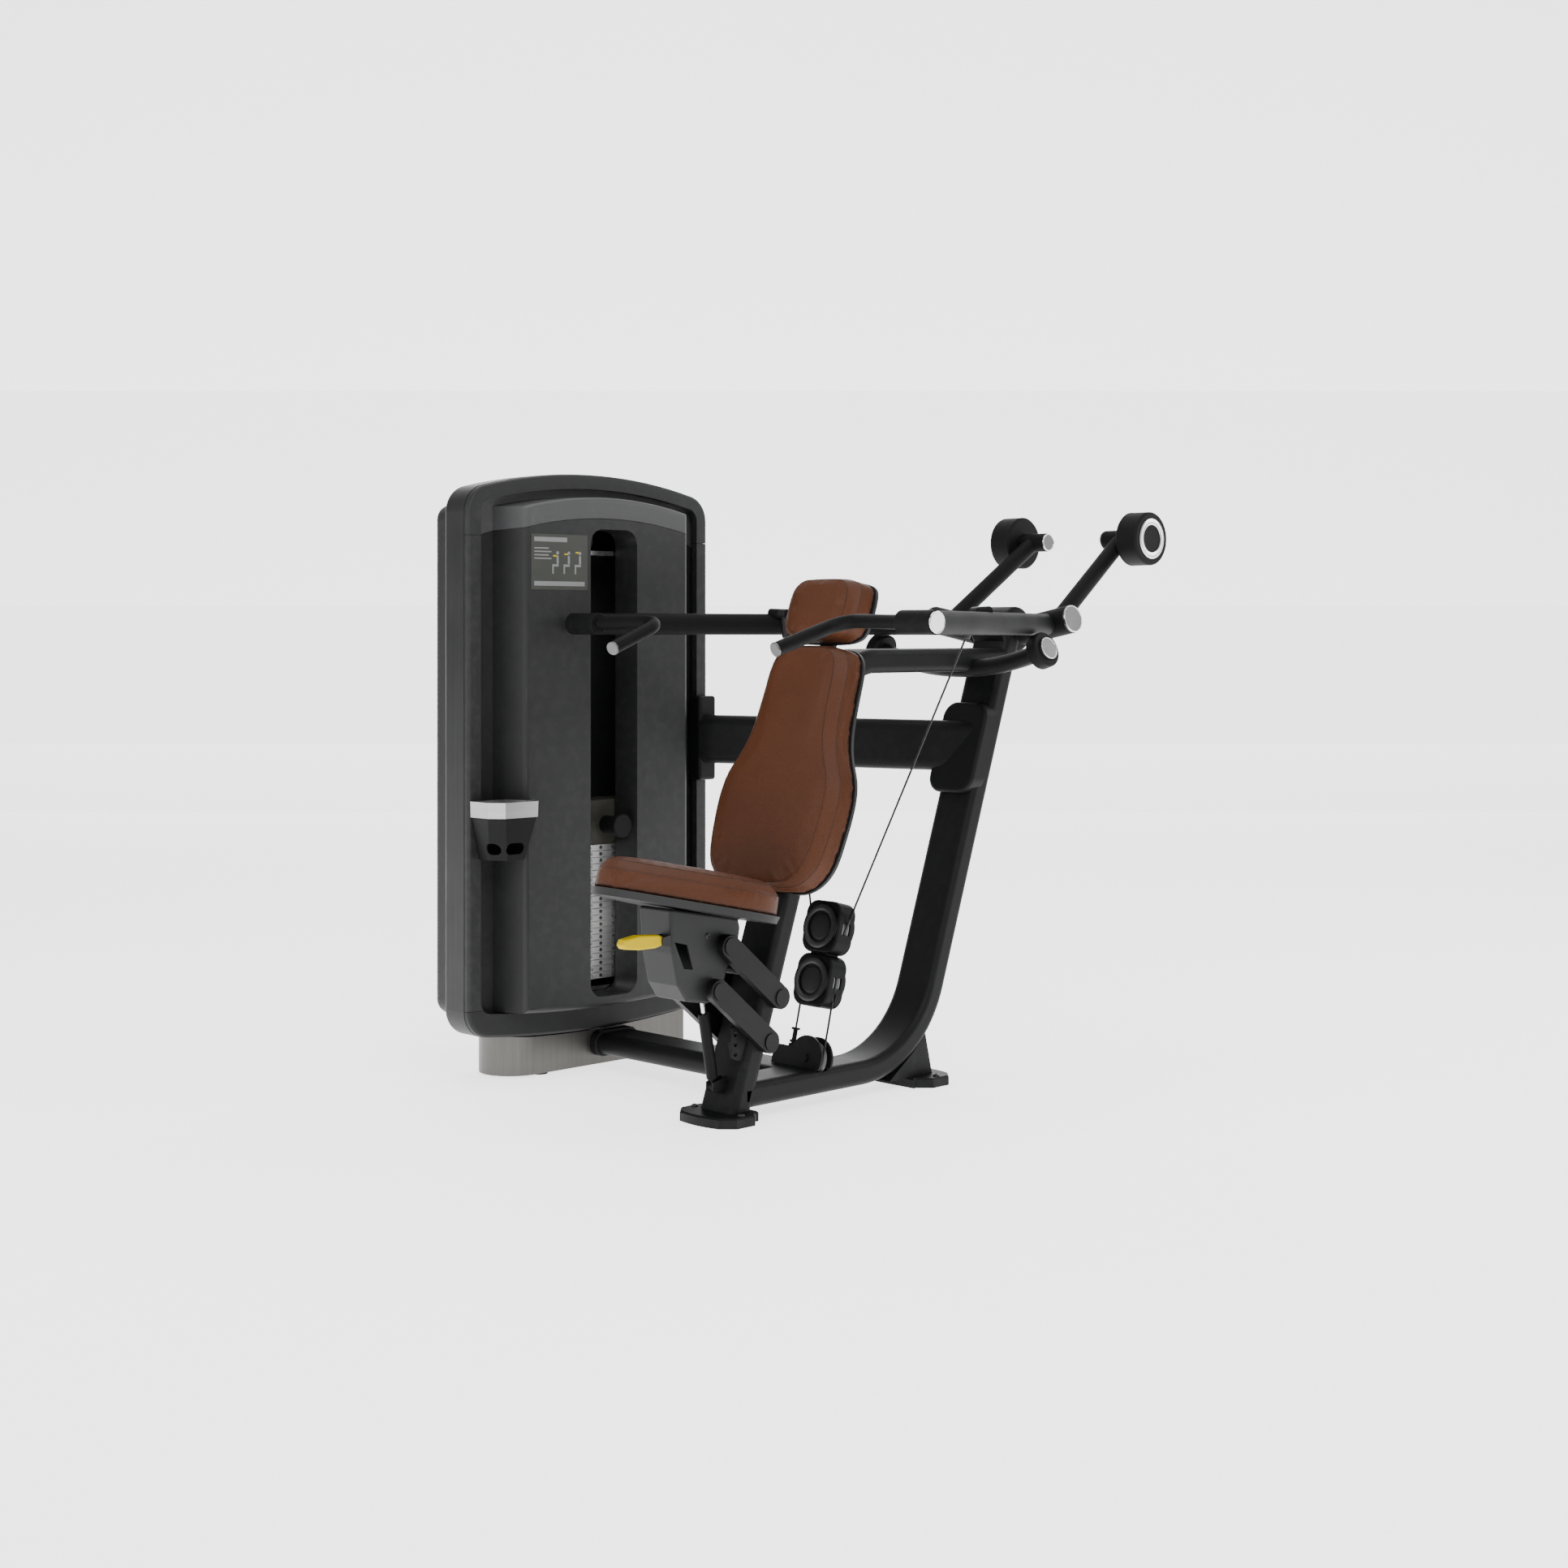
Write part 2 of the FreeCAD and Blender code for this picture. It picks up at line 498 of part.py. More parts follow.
def build_floor_bracket():
    """Two cheek plates for the floor wheel, and the block of the draw cable's anchor bolt."""
    up, axis = draw_up(), draw_axis()
    anchor = -GROOVE_R - FLOOR_PULLEY.x
    parts = []
    for side in (-1, 1):
        mid = FLOOR_PULLEY + axis * (side * 19)
        disc = cyl(mid - axis * 3, mid + axis * 3, 57.0)
        tail = local_prism(mid, [(anchor - 45, -40), (0, -40), (0, 24), (anchor - 34, 24),
                                 (anchor - 45, 12)], 0, 6.0)
        parts += [disc, tail]
    block = local_prism(FLOOR_PULLEY, [(anchor - 42, -40), (anchor - 18, -40), (anchor - 18, 22),
                                       (anchor - 42, 22)], 0, 34.0)
    ear = local_prism(FLOOR_PULLEY, [(anchor - 24, 0), (anchor + 15, 0), (anchor + 15, 22),
                                     (anchor - 24, 22)], 0, 34.0)
    pin = cyl(FLOOR_PULLEY - axis * 22, FLOOR_PULLEY + axis * 22, 8.0)
    heads = [cyl(FLOOR_PULLEY + axis * (s * 21), FLOOR_PULLEY + axis * (s * 27), 10.0)
             for s in (-1, 1)]
    below = box(-200, 200, 100, 500, -100, RAIL_Z + TUBE_T / 2 + 0.2)
    bracket = largest(fuse(parts + [block, ear, pin] + heads).cut(below))
    foot = FLOOR_PULLEY + V(anchor, 0, 0)
    bolt = cyl(foot + up * 22.2, foot + up * BOLT_TOP, 6.0)
    nuts = [cyl(foot + up * low, foot + up * high, radius)
            for low, high, radius in ((22.2, 31, 11.5), (33, 40, 10.5), (BOLT_TOP - 6, BOLT_TOP, 11))]
    return bracket, fuse([bolt] + nuts)


def rail_cable_slots():
    """Well for the floor wheel in the rail's top, and the cable's way out of its side."""
    centre = FLOOR_PULLEY
    well = box(-33, 57.5, centre.y - 27, centre.y + 18, 60, 130)
    side = cyl(V(-90, 286, 71.6), V(-50, 286, 71.6), 8.0)
    return fuse([well, side])


# ---------------------------------------------------------------- weight tower
def tower_outline(x, inset, low_inset, high_inset):
    y0, y1 = TOWER_Y0 + inset, TOWER_Y1 - inset
    z0, z1 = TOWER_Z0 + low_inset, TOWER_Z1 - high_inset
    mid = (y0 + y1) / 2
    share = (y1 - y0) / (TOWER_Y1 - TOWER_Y0)
    top = Part.Arc(V(x, y0, z1), V(x, mid, z1 + ARCH * share ** 2), V(x, y1, z1)).toShape()
    low = Part.Arc(V(x, y1, z0), V(x, mid, z0 - BOW * share ** 2), V(x, y0, z0)).toShape()
    return Part.Wire([top, Part.makeLine(V(x, y1, z1), V(x, y1, z0)), low,
                      Part.makeLine(V(x, y0, z0), V(x, y0, z1))])


def tower_slab(x0, x1, inset, low_inset, high_inset, corner):
    slab = Part.Face(tower_outline(x0, inset, low_inset, high_inset)).extrude(V(x1 - x0, 0, 0))
    return soften(slab, corner, lambda e: abs(e.Length - (x1 - x0)) < 1e-6)


def face_edges(x):
    return lambda e: e.BoundBox.XMax - e.BoundBox.XMin < 1e-6 and abs(e.BoundBox.XMin - x) < 1e-3


def build_tower():
    notch = box(-760, -690, 572.7, 640, 764.7, 1002.3)
    outer = tower_slab(BAND_X, FACE_X - 20, 0, 0, 0, 72)
    outer = soften(outer, 16.0, face_edges(BAND_X))
    band = outer.cut(tower_slab(BAND_X - 1, FACE_X, 9, 9, 9, 63)).cut(notch)
    rim = tower_slab(FACE_X - 19.7, FACE_X, 1, 1, 1, 71)
    rim = soften(rim, 9.0, face_edges(FACE_X))
    rim = rim.cut(tower_slab(FACE_X - 40, FACE_X + 5, RIM, KICK, 30, 34)).cut(notch)
    kick = rim.common(box(-800, -700, TOWER_Y0 - 5, TOWER_Y1 + 5, 0, TOWER_Z0 + 66))
    cap = rim.common(box(-800, -700, TOWER_Y0 - 5, TOWER_Y1 + 5, 1434, 1700))
    sides = rim.common(box(-800, -700, TOWER_Y0 - 5, TOWER_Y1 + 5, TOWER_Z0 + 67, 1433))
    rear = tower_slab(BACK_X, BAND_X - 0.5, 40, 40, 40, 40)
    rear = soften(rear, 24.0, face_edges(BACK_X))
    hollow = soften(tower_slab(BACK_X + 5, BAND_X, 45, 45, 45, 36), 20.0, face_edges(BACK_X + 5))
    way = box(BACK_X, FACE_X, STACK_Y - 24, STACK_Y + 24, 60, TOWER_Z0 + 50)
    rear, band = rear.cut(fuse([hollow, way])), band.cut(way)
    return band, solids([cap, sides]), kick, largest(rear)


def panel_loft(grow, x_front, x_back):
    """Bulged panel body; grow moves every wall outward."""
    wires = []
    for x, flare in ((x_back, 30.0), (x_front, 0.0)):
        y0, y1 = PANEL_Y0 - flare - grow, PANEL_Y1 + flare + grow
        z0, z1 = PANEL_Z0 - grow - flare * 0.1, PANEL_Z1 - 46 + grow + flare * 0.1
        mid = (y0 + y1) / 2
        wires.append(Part.Wire([
            Part.Arc(V(x, y0, z1), V(x, mid, z1 + 34), V(x, y1, z1)).toShape(),
            Part.makeLine(V(x, y1, z1), V(x, y1, z0)),
            Part.Arc(V(x, y1, z0), V(x, mid, z0 - 12), V(x, y0, z0)).toShape(),
            Part.makeLine(V(x, y0, z0), V(x, y0, z1))]))
    return Part.makeLoft(wires, True, True)


def build_panel():
    wall = 4.0
    body = panel_loft(0, PANEL_X, PANEL_FLOOR_X)
    body = soften(body, 14.0, face_edges(PANEL_X))
    flange = tower_slab(PANEL_FLOOR_X - 4, PANEL_FLOOR_X, 12, 12, 12, 56)
    inner = panel_loft(-wall, PANEL_X - wall, PANEL_FLOOR_X - 4.01)
    body = fuse([body, flange]).cut(inner)
    slot = oval_bar(V(PANEL_X + 5, (SLOT_Y0 + SLOT_Y1) / 2, (SLOT_Z0 + SLOT_Z1) / 2),
                    V(-752, (SLOT_Y0 + SLOT_Y1) / 2, (SLOT_Z0 + SLOT_Z1) / 2),
                    V(0, 0, 1), SLOT_Z1 - SLOT_Z0, SLOT_Y1 - SLOT_Y0, SLOT_R)
    liner = oval_bar(V(PANEL_X - 1, (SLOT_Y0 + SLOT_Y1) / 2, (SLOT_Z0 + SLOT_Z1) / 2),
                     V(-752, (SLOT_Y0 + SLOT_Y1) / 2, (SLOT_Z0 + SLOT_Z1) / 2),
                     V(0, 0, 1), SLOT_Z1 - SLOT_Z0 + 6, SLOT_Y1 - SLOT_Y0 + 6, SLOT_R + 3)
    body = fuse([body, liner.common(panel_loft(-1, PANEL_X - 1, PANEL_FLOOR_X))]).cut(slot)
    seam_z, apex, mid = 1454.0, 1487.0, (PANEL_Y0 + PANEL_Y1) / 2
    y0, y1 = TOWER_Y0 - 20, TOWER_Y1 + 20
    reach = (y1 - y0) / (PANEL_Y1 - PANEL_Y0)
    drop = (apex - seam_z) * reach ** 2
    pieces = []
    for shift, far in ((0.6, 1900.0), (-0.6, -200.0)):
        arc = Part.Arc(V(-900, y0, apex - drop + shift), V(-900, mid, apex + shift),
                       V(-900, y1, apex - drop + shift)).toShape()
        area = Part.Wire([arc, Part.makeLine(V(-900, y1, apex - drop + shift), V(-900, y1, far)),
                          Part.makeLine(V(-900, y1, far), V(-900, y0, far)),
                          Part.makeLine(V(-900, y0, far), V(-900, y0, apex - drop + shift))])
        region = Part.Face(area).extrude(V(400, 0, 0))
        pieces.append(largest(body.common(region)))
    placard = box(PANEL_X + 0.1, PANEL_X + 1.1, *CARD_Y, *CARD_Z)
    return pieces[0], pieces[1], placard


def build_pedestal():
    x0, x1, y1 = -930.0, -745.0, 558.0
    r = (x1 - x0) / 2
    nose = cyl(V(x0 + r, 20, 6), V(x0 + r, 20, 400), r)
    block = soften(box(x0, x1, 20, y1, 6, 400), 10.0,
                   lambda e: e.Length > 390 and e.BoundBox.YMin > y1 - 1)
    hull = fuse([nose, block])
    inside = fuse([cyl(V(x0 + r, 20, 10), V(x0 + r, 20, 401), r - 4),
                   box(x0 + 4, x1 - 4, 20, y1 - 4, 10, 401)])
    hull = hull.cut(inside)
    above = Part.Face(tower_outline(-1100, -40, 0.5, 0)).extrude(V(600, 0, 0))
    hull = hull.cut(above)
    way = oval_bar(V(-760, 286, 64), V(-730, 286, 64), V(0, 1, 0), 142, 59, 27)
    feet = [cyl(V(x, y, 0), V(x, y, 5.8), 22.0) for x in (-900, -775) for y in (60, 500)]
    return largest(hull.cut(way)), feet


def stack_rods():
    """Middles of the two guide rods."""
    return [(STACK_X, STACK_Y - ROD_HALF), (STACK_X, STACK_Y + ROD_HALF)]


def stack_box(low, high, grow=0.0):
    """Block as long and wide as a plate, grown on every side."""
    half_x, half_y = PLATE_X / 2 + grow, PLATE_Y / 2 + grow
    return box(STACK_X - half_x, STACK_X + half_x, STACK_Y - half_y, STACK_Y + half_y, low, high)


def wheel_fork(height, bridge_z):
    """Pin of a tower wheel and its two cheeks, which reach to the bridge above or below."""
    near = height + math.copysign(13, height - bridge_z)
    low, high = sorted((near, bridge_z))
    parts = [cyl(V(TOWER_WHEEL_X, STACK_Y - 16, height), V(TOWER_WHEEL_X, STACK_Y + 16, height), 8.0)]
    for s in (-1, 1):
        y0, y1 = sorted((STACK_Y + s * 13.4, STACK_Y + s * 18.4))
        parts.append(box(TOWER_WHEEL_X - 12, TOWER_WHEEL_X + 12, y0, y1, low, high))
    return parts


def build_stack_frame():
    """Base and top bridge with the guide rods, rubber cushions and the tower wheels' forks."""
    rods = [cyl(V(x, y, STACK_BASE_Z + 9), V(x, y, STACK_TOP_Z + 8), ROD_R) for x, y in stack_rods()]
    base = stack_box(STACK_BASE_Z, STACK_BASE_Z + 20, 4)
    top = stack_box(STACK_TOP_Z, STACK_TOP_Z + 12, 4)
    top = top.fuse(box(TOWER_WHEEL_X - 62, STACK_X, STACK_Y - PLATE_Y / 2 - 4,
                       STACK_Y + PLATE_Y / 2 + 4, STACK_TOP_Z, STACK_TOP_Z + 12))
    way = box(TOWER_WHEEL_X - 54, TOWER_WHEEL_X + 54, STACK_Y - 13.4, STACK_Y + 13.4,
              STACK_TOP_Z - 12, STACK_TOP_Z + 18)
    web = box(TOWER_WHEEL_X - 12, STACK_X - PLATE_X / 2, STACK_Y - 50, STACK_Y + 50,
              STACK_BASE_Z, STACK_BASE_Z + 10)
    cushions = [cyl(V(x, y, STACK_BASE_Z + 20), V(x, y, STACK_Z0 - 0.3), 20.0)
                for x, y in stack_rods()]
    forks = wheel_fork(TOWER_TOP_Z, STACK_TOP_Z + 4) + wheel_fork(TOWER_LOW_Z, STACK_BASE_Z + 4)
    return fuse([base, top.cut(way)] + rods + forks + [web] + cushions)


def build_plates():
    """Plates with holes for the rods, the stem, the selector pin and a marker on the front edge."""
    front = STACK_X + PLATE_X / 2
    plates = []
    for i in range(PLATES):
        z = STACK_Z0 + i * PLATE_PITCH
        mid = z + PLATE_T / 2
        plate = soften(stack_box(z, z + PLATE_T), 1.5, lambda e: e.Length > PLATE_X - 1)
        holes = [cyl(V(x, y, z - 1), V(x, y, z + PLATE_T + 1), ROD_R + 1.5) for x, y in stack_rods()]
        holes.append(cyl(V(STACK_X, STACK_Y, z - 1), V(STACK_X, STACK_Y, z + PLATE_T + 1), 15.0))
        holes.append(cyl(V(front + 1, STACK_Y, mid), V(STACK_X, STACK_Y, mid), PIN_HOLE_R))
        holes.append(cyl(V(front + 1, STACK_Y + 43, mid), V(front - 20, STACK_Y + 43, mid), 4.5))
        plates.append(plate.cut(fuse(holes)))
    return plates


def build_carriage():
    """Head block that runs on the rods, with its stem drilled at each plate's height."""
    front, z = STACK_X + PLATE_X / 2, STACK_Z0 + PLATES * PLATE_PITCH
    head = soften(stack_box(z, z + HEAD_H), 4.0, lambda e: e.Length > PLATE_X - 1)
    holes = [cyl(V(x, y, z - 1), V(x, y, z + HEAD_H + 1), ROD_R + RUN_FIT) for x, y in stack_rods()]
    holes.append(cyl(V(front + 1, STACK_Y, z + PIN_UP), V(STACK_X - 20, STACK_Y, z + PIN_UP),
                     PIN_HOLE_R))
    stem = cyl(V(STACK_X, STACK_Y, STACK_Z0 - 12), V(STACK_X, STACK_Y, z + 2), 11.0)
    for i in range(PLATES):
        mid = STACK_Z0 + i * PLATE_PITCH + PLATE_T / 2
        holes.append(cyl(V(STACK_X - 14, STACK_Y, mid), V(STACK_X + 14, STACK_Y, mid), PIN_HOLE_R))
    return fuse([head, stem]).cut(fuse(holes))


def build_selector_pin():
    front, z = STACK_X + PLATE_X / 2, STACK_Z0 + PLATES * PLATE_PITCH + PIN_UP
    steps = ((STACK_X - 12, front + 32, 5.0), (front + 22, front + 72, 24.0),
             (front + 70, front + 94, 32.0))
    knob = fuse([cyl(V(x0, STACK_Y, z), V(x1, STACK_Y, z), radius) for x0, x1, radius in steps])
    return soften(knob, 4.0, lambda e: e.BoundBox.ZLength > 60)


def build_stack_cable():
    top = STACK_Z0 + PLATES * PLATE_PITCH + HEAD_H
    return cyl(V(STACK_X, STACK_Y, top + 0.3), V(STACK_X, STACK_Y, TOWER_TOP_Z - 0.3), CABLE_R)


def tray_pocket(inset, z0, z1, draft):
    """Tapered pocket shape with cut front corners; the wall at the tower stays upright."""
    wires = []
    for z, lean in ((z0, draft), (z1, 0.0)):
        y0, y1 = TRAY_Y0 + inset + lean, TRAY_Y1 - inset - lean
        x0, x1 = FACE_X + 0.5 + inset, TRAY_X1 - inset - lean
        points = [V(x0, y0, z), V(x1 - 36, y0, z), V(x1, y0 + 30, z), V(x1, y1 - 20, z),
                  V(x1 - 24, y1, z), V(x0, y1, z)]
        wires.append(Part.makePolygon(points + points[:1]))
    return Part.makeLoft(wires, True, True)


def build_tray():
    """Open bin on the tower's front rim, cut round the panel's flank, with a rim of its own."""
    wall = 3.5
    near, far = (panel_loft(gap, PANEL_X + gap, PANEL_FLOOR_X) for gap in (1.5, 1.5 + wall))
    room = tray_pocket(3 + wall, TRAY_Z0 + 4, TRAY_Z1 + 6, 22).cut(far)
    cup = tray_pocket(3, TRAY_Z0, TRAY_Z1, 22).cut(near).cut(room)
    notch_z = TRAY_Z0 + 30
    notches = [oval_bar(V(-660, TRAY_Y0 - 30, notch_z), V(-660, TRAY_Y0 + 70, notch_z),
                        V(1, 0, 0), 34, 30, 14),
               oval_bar(V(-655, -134, notch_z), V(-600, -134, notch_z), V(0, 1, 0), 56, 30, 14)]
    opening = tray_pocket(4, TRAY_Z1 - 1, TRAY_Z1 + 42, 1).cut(far)
    lip = tray_pocket(0, TRAY_Z1 + 0.3, TRAY_Z1 + 41, 1).cut(near).cut(opening)
    return largest(lip), largest(cup.cut(fuse(notches)))


# ---------------------------------------------------------------- back pads
BACK_SIDE = [(570, 56), (578, 108), (602, 144), (636, 166), (690, 177), (750, 182), (806, 181),
             (850, 171), (896, 147), (944, 128), (1000, 118), (1060, 114), (1112, 111), (1150, 102),
             (1172, 80), (1181, 44)]
HEAD_SIDE = [(1212, 40), (1216, 64), (1229, 84), (1252, 94), (1290, 96), (1322, 95), (1344, 86),
             (1356, 66), (1360, 36)]
BOARD_OUT, PAD_OUT, BEVEL_OUT, PAD_FRONT = 31.5, 40.5, 76.0, 101.0
FLARE, BEVEL, END_SHARE = 44.0, 30.0, 0.16   # how far rim and bevel stand outside the face


def outline(side, grow, place, end_share=1.0):
    """Closed smooth outline through (along, half width) points and their mirror images.

    It is grown sideways by grow, and at its two ends by end_share times as much.
    """
    mid = (side[0][0] + side[-1][0]) / 2
    span = (side[-1][0] - side[0][0]) / 2
    points = [(half + grow * min(1.0, half / 80.0), mid + (along - mid) * (1 + end_share * grow / span))
              for along, half in side]
    loop = points + [(-x, along) for x, along in reversed(points)]
    curve = Part.BSplineCurve()
    curve.interpolate([place(x, along) for x, along in loop], PeriodicFlag=True)
    return Part.Wire([curve.toShape()])


def lean_slab(side, out0, out1, grow0, grow1):
    wires = [outline(side, grow, lambda x, up, out=out: lean_point(x, up, out), END_SHARE)
             for out, grow in ((out0, grow0), (out1, grow1))]
    return Part.makeLoft(wires, True, True)


def build_pads(front_outer):
    pads, boards = [], []
    for side in (BACK_SIDE, HEAD_SIDE):
        rim = lean_slab(side, PAD_OUT, BEVEL_OUT, FLARE, BEVEL)
        face = lean_slab(side, BEVEL_OUT, PAD_FRONT, BEVEL, 0)
        pads.append(largest(fuse([rim, face])))
        boards.append(lean_slab(side, BOARD_OUT, PAD_OUT - 0.5, FLARE + 2, FLARE + 2))
    spacers = [lean_block(-45, 45, up, up + 60, 24, BOARD_OUT) for up in (690, 1000)]
    neck = lean_block(-24, 24, 1060, 1330, 20, BOARD_OUT)
    boards[0] = largest(fuse([boards[0]] + spacers).cut(front_outer))
    boards[1] = largest(fuse([boards[1], neck.cut(boards[0])]).cut(fuse([front_outer, boards[0]])))
    return pads, boards


def lean_block(x0, x1, up0, up1, out0, out1):
    corners = [(x0, up0), (x1, up0), (x1, up1), (x0, up1)]
    base = [lean_point(x, up, out0) for x, up in corners]
    push = lean_point(0, 0, out1) - lean_point(0, 0, out0)
    return Part.Face(Part.makePolygon(base + base[:1])).extrude(push)


# ---------------------------------------------------------------- seat and its linkage
SEAT_ORIGIN = V(0, -8.0, 494.0)      # rear lower edge of the seat board
SEAT_SIDE = [(-28, 56), (-27, 122), (-20, 172), (2, 201), (44, 211), (104, 202), (168, 175),
             (236, 137), (300, 98), (350, 64), (380, 26)]
SEAT_BOARD_T, SEAT_RIM_UP, SEAT_TOP_UP, SEAT_INSET = 18.0, 66.0, 92.0, 18.0


def seat_point(x, forward, up):
    c, s = math.cos(SEAT_TILT), math.sin(SEAT_TILT)
    return SEAT_ORIGIN + V(x, -forward * c + up * s, forward * s + up * c)


def seat_slab(up0, up1, grow0, grow1):
    wires = [outline(SEAT_SIDE, grow, lambda x, forward, up=up: seat_point(x, forward, up))
             for up, grow in ((up0, grow0), (up1, grow1))]
    return Part.makeLoft(wires, True, True)


def link(post, seat, braces):
    """Pair of bars beside the post with a through pin, two stub pins and any cross tube."""
    a, b = V(0, post[0], post[1]), V(0, seat[0], seat[1])
    run = (b - a).normalize()
    side = V(0, -run.z, run.y) * LINK_R
    middle = (a + b) * 0.5
    parts = [cyl(a - V(LINK_X1, 0, 0), a + V(LINK_X1, 0, 0), PIN_R)]
    parts += [cyl(middle - V(LINK_X1, 0, 0), middle + V(LINK_X1, 0, 0), 12.0)] * braces
    for s in (-1, 1):
        x0, x1 = sorted((s * LINK_X0, s * LINK_X1))
        ends = [cyl(V(x0, p.y, p.z), V(x1, p.y, p.z), LINK_R) for p in (a, b)]
        corners = [V(x0, p.y, p.z) for p in (a + side, b + side, b - side, a - side)]
        plate = Part.Face(Part.makePolygon(corners + corners[:1])).extrude(V(x1 - x0, 0, 0))
        parts.append(soften(fuse([plate] + ends), 2.0, face_edges(s * LINK_X1)))
        parts += [cyl(V(s * LINK_X1, p.y, p.z), V(s * (LINK_X1 + 3), p.y, p.z), LINK_R - 7)
                  for p in (a, b)]
        parts.append(cyl(V(s * STUB_X, b.y, b.z), V(s * LINK_X1, b.y, b.z), PIN_R))
    return fuse(parts)


def bushing(x0, x1, pin, outer):
    """Bearing tube whose bore carries a link pin."""
    y, z = pin
    return ring(V(x0, y, z), V(x1, y, z), outer, PIN_R + RUN_FIT)


def build_seat(front):
    post_pins = (LINK_UP_POST, LINK_LO_POST)
    seat_pins = (LINK_UP_SEAT, LINK_LO_SEAT)
    holes = fuse([cyl(V(-80, y, z), V(80, y, z), 15.0) for y, z in post_pins])
    post = largest(front.cut(holes))
    reach = LINK_X0 - 0.6
    post = fuse([post] + [bushing(-reach, reach, pin, 15.0) for pin in post_pins])
    links = [link(LINK_UP_POST, LINK_UP_SEAT, 1), link(LINK_LO_POST, LINK_LO_SEAT, 0)]
    profile = [(-214, 536), (-206, 430), (-188, 352), (-160, 312), (-100, 300), (-52, 304),
               (-30, 372), (6, 428), (14, 470), (8, 494)]
    half, wall = 56.0, 5.0
    shell = soften(side_plate(profile, -half, half), 7.0)
    inner_profile = [(y * 0.93 - 7, 300 + (z - 300) * 0.93 + 6) for y, z in profile]
    room = side_plate(inner_profile, -half + wall, half - wall)
    mouth = side_plate([(-150, 290), (-40, 290), (-30, 340), (-14, 372), (-120, 372)],
                       -half + wall, half - wall)
    shell = shell.cut(fuse([room, mouth]))
    window = side_plate([(-236, 462), (-196, 452), (-178, 392), (-206, 396)], 30, 60)
    window.translate(V(0, 36, -6))
    shell = shell.cut(window)
    bosses = [ring(V(s * (half - 1), y, z), V(s * reach, y, z), 26.0, 12.0)
              for s in (-1, 1) for y, z in seat_pins]
    holes = fuse([cyl(V(-80, y, z), V(80, y, z), 13.5) for y, z in seat_pins])
    carrier = fuse([shell] + bosses).cut(holes)
    carrier = fuse([carrier] + [bushing(*sorted((s * STUB_X, s * reach)), pin, 13.5)
                                for s in (-1, 1) for pin in seat_pins])
    pivot_y, pivot_z = LEVER_PIVOT
    ear = [(pivot_y - 9, pivot_z - 9), (pivot_y - 9, pivot_z + 9), (-206, pivot_z + 14),
           (-206, pivot_z - 14)]
    ears = [side_plate(ear, x, x + 4) for x in (17, 49)]
    lever_pin = cyl(V(17, pivot_y, pivot_z), V(53, pivot_y, pivot_z), LEVER_PIN_R)
    carrier = fuse([carrier, lever_pin] + ears)
    carrier = largest(carrier.cut(seat_half_space()))
    board = seat_slab(0.3, SEAT_BOARD_T, 1, 5)
    pad = fuse([seat_slab(SEAT_BOARD_T + 0.4, SEAT_RIM_UP, 0, 0),
                seat_slab(SEAT_RIM_UP, SEAT_TOP_UP, 0, -SEAT_INSET)])
    paddle = side_plate([(-352, 462), (-345, 474), (-300, 480), (-240, 476), (-222, 468),
                         (-222, 452), (-250, 446), (-300, 446), (-345, 452)], 22, 48)
    pivot_y, pivot_z = LEVER_PIVOT
    hub = cyl(V(22, pivot_y, pivot_z), V(48, pivot_y, pivot_z), 9.0)
    bore = cyl(V(20, pivot_y, pivot_z), V(50, pivot_y, pivot_z), LEVER_PIN_R + RUN_FIT)
    lever = soften(paddle, 5.0).fuse(hub).cut(bore)
    return post, links, carrier, board, pad, lever


def seat_half_space():
    """Everything above the underside of the seat board."""
    corners = [seat_point(x, f, 0) for x, f in ((-300, -200), (300, -200), (300, 600), (-300, 600))]
    up = seat_point(0, 0, 300) - seat_point(0, 0, 0)
    return Part.Face(Part.makePolygon(corners + corners[:1])).extrude(up)


def build_gas_spring():
    foot, top = V(0, *SPRING_FOOT), V(0, *SPRING_TOP)
    run = (top - foot).normalize()
    eye = ring(V(-7, foot.y, foot.z), V(7, foot.y, foot.z), 12.0, 5.0 + RUN_FIT)
    neck = cyl(foot + run * 9, foot + run * 24, 6.5)
    barrel = cyl(foot + run * 22, foot + run * 182, 14.0)
    bore = cyl(foot + run * 70, foot + run * 190, 7.0)
    cylinder = fuse([eye, neck, barrel]).cut(bore)
    pin = cyl(V(-8, foot.y, foot.z), V(8, foot.y, foot.z), 5.0 + RUN_FIT)
    rod = cyl(foot + run * 176, top - run * 14, 5.0)
    head = soften(cyl(top - run * 15, top + run * 2, 9.0), 2.0)
    return cylinder.cut(pin), fuse([rod, head])


def build_spring_foot(front_outer):
    """Fork on the post's foot that carries the gas spring's lower pin."""
    y, z = SPRING_FOOT
    profile = [(y - 13, z - 8), (y - 13, z + 12), (y + 40, z + 22), (y + 40, z - 26)]
    ears = [side_plate(profile, *sorted((s * 8, s * 13))) for s in (-1, 1)]
    pin = cyl(V(-13, y, z), V(13, y, z), 5.0)
    back = box(-13, 13, y + 26, y + 60, z - 20, z + 14)
    return largest(fuse(ears + [pin, back]).cut(front_outer))


def build_sector(front_outer):
    """Perforated lock bar on the post's front face, beside the gas spring."""
    points = [(16, 148), (-4, 156), (-12, 196), (-6, 230), (16, 236), (70, 226), (50, 148)]
    bar = side_plate(points, 38, 48)
    holes = [cyl(V(30, 4, z), V(60, 4, z), 6.0) for z in (166, 190, 214)]
    return largest(bar.cut(fuse(holes)).cut(front_outer))


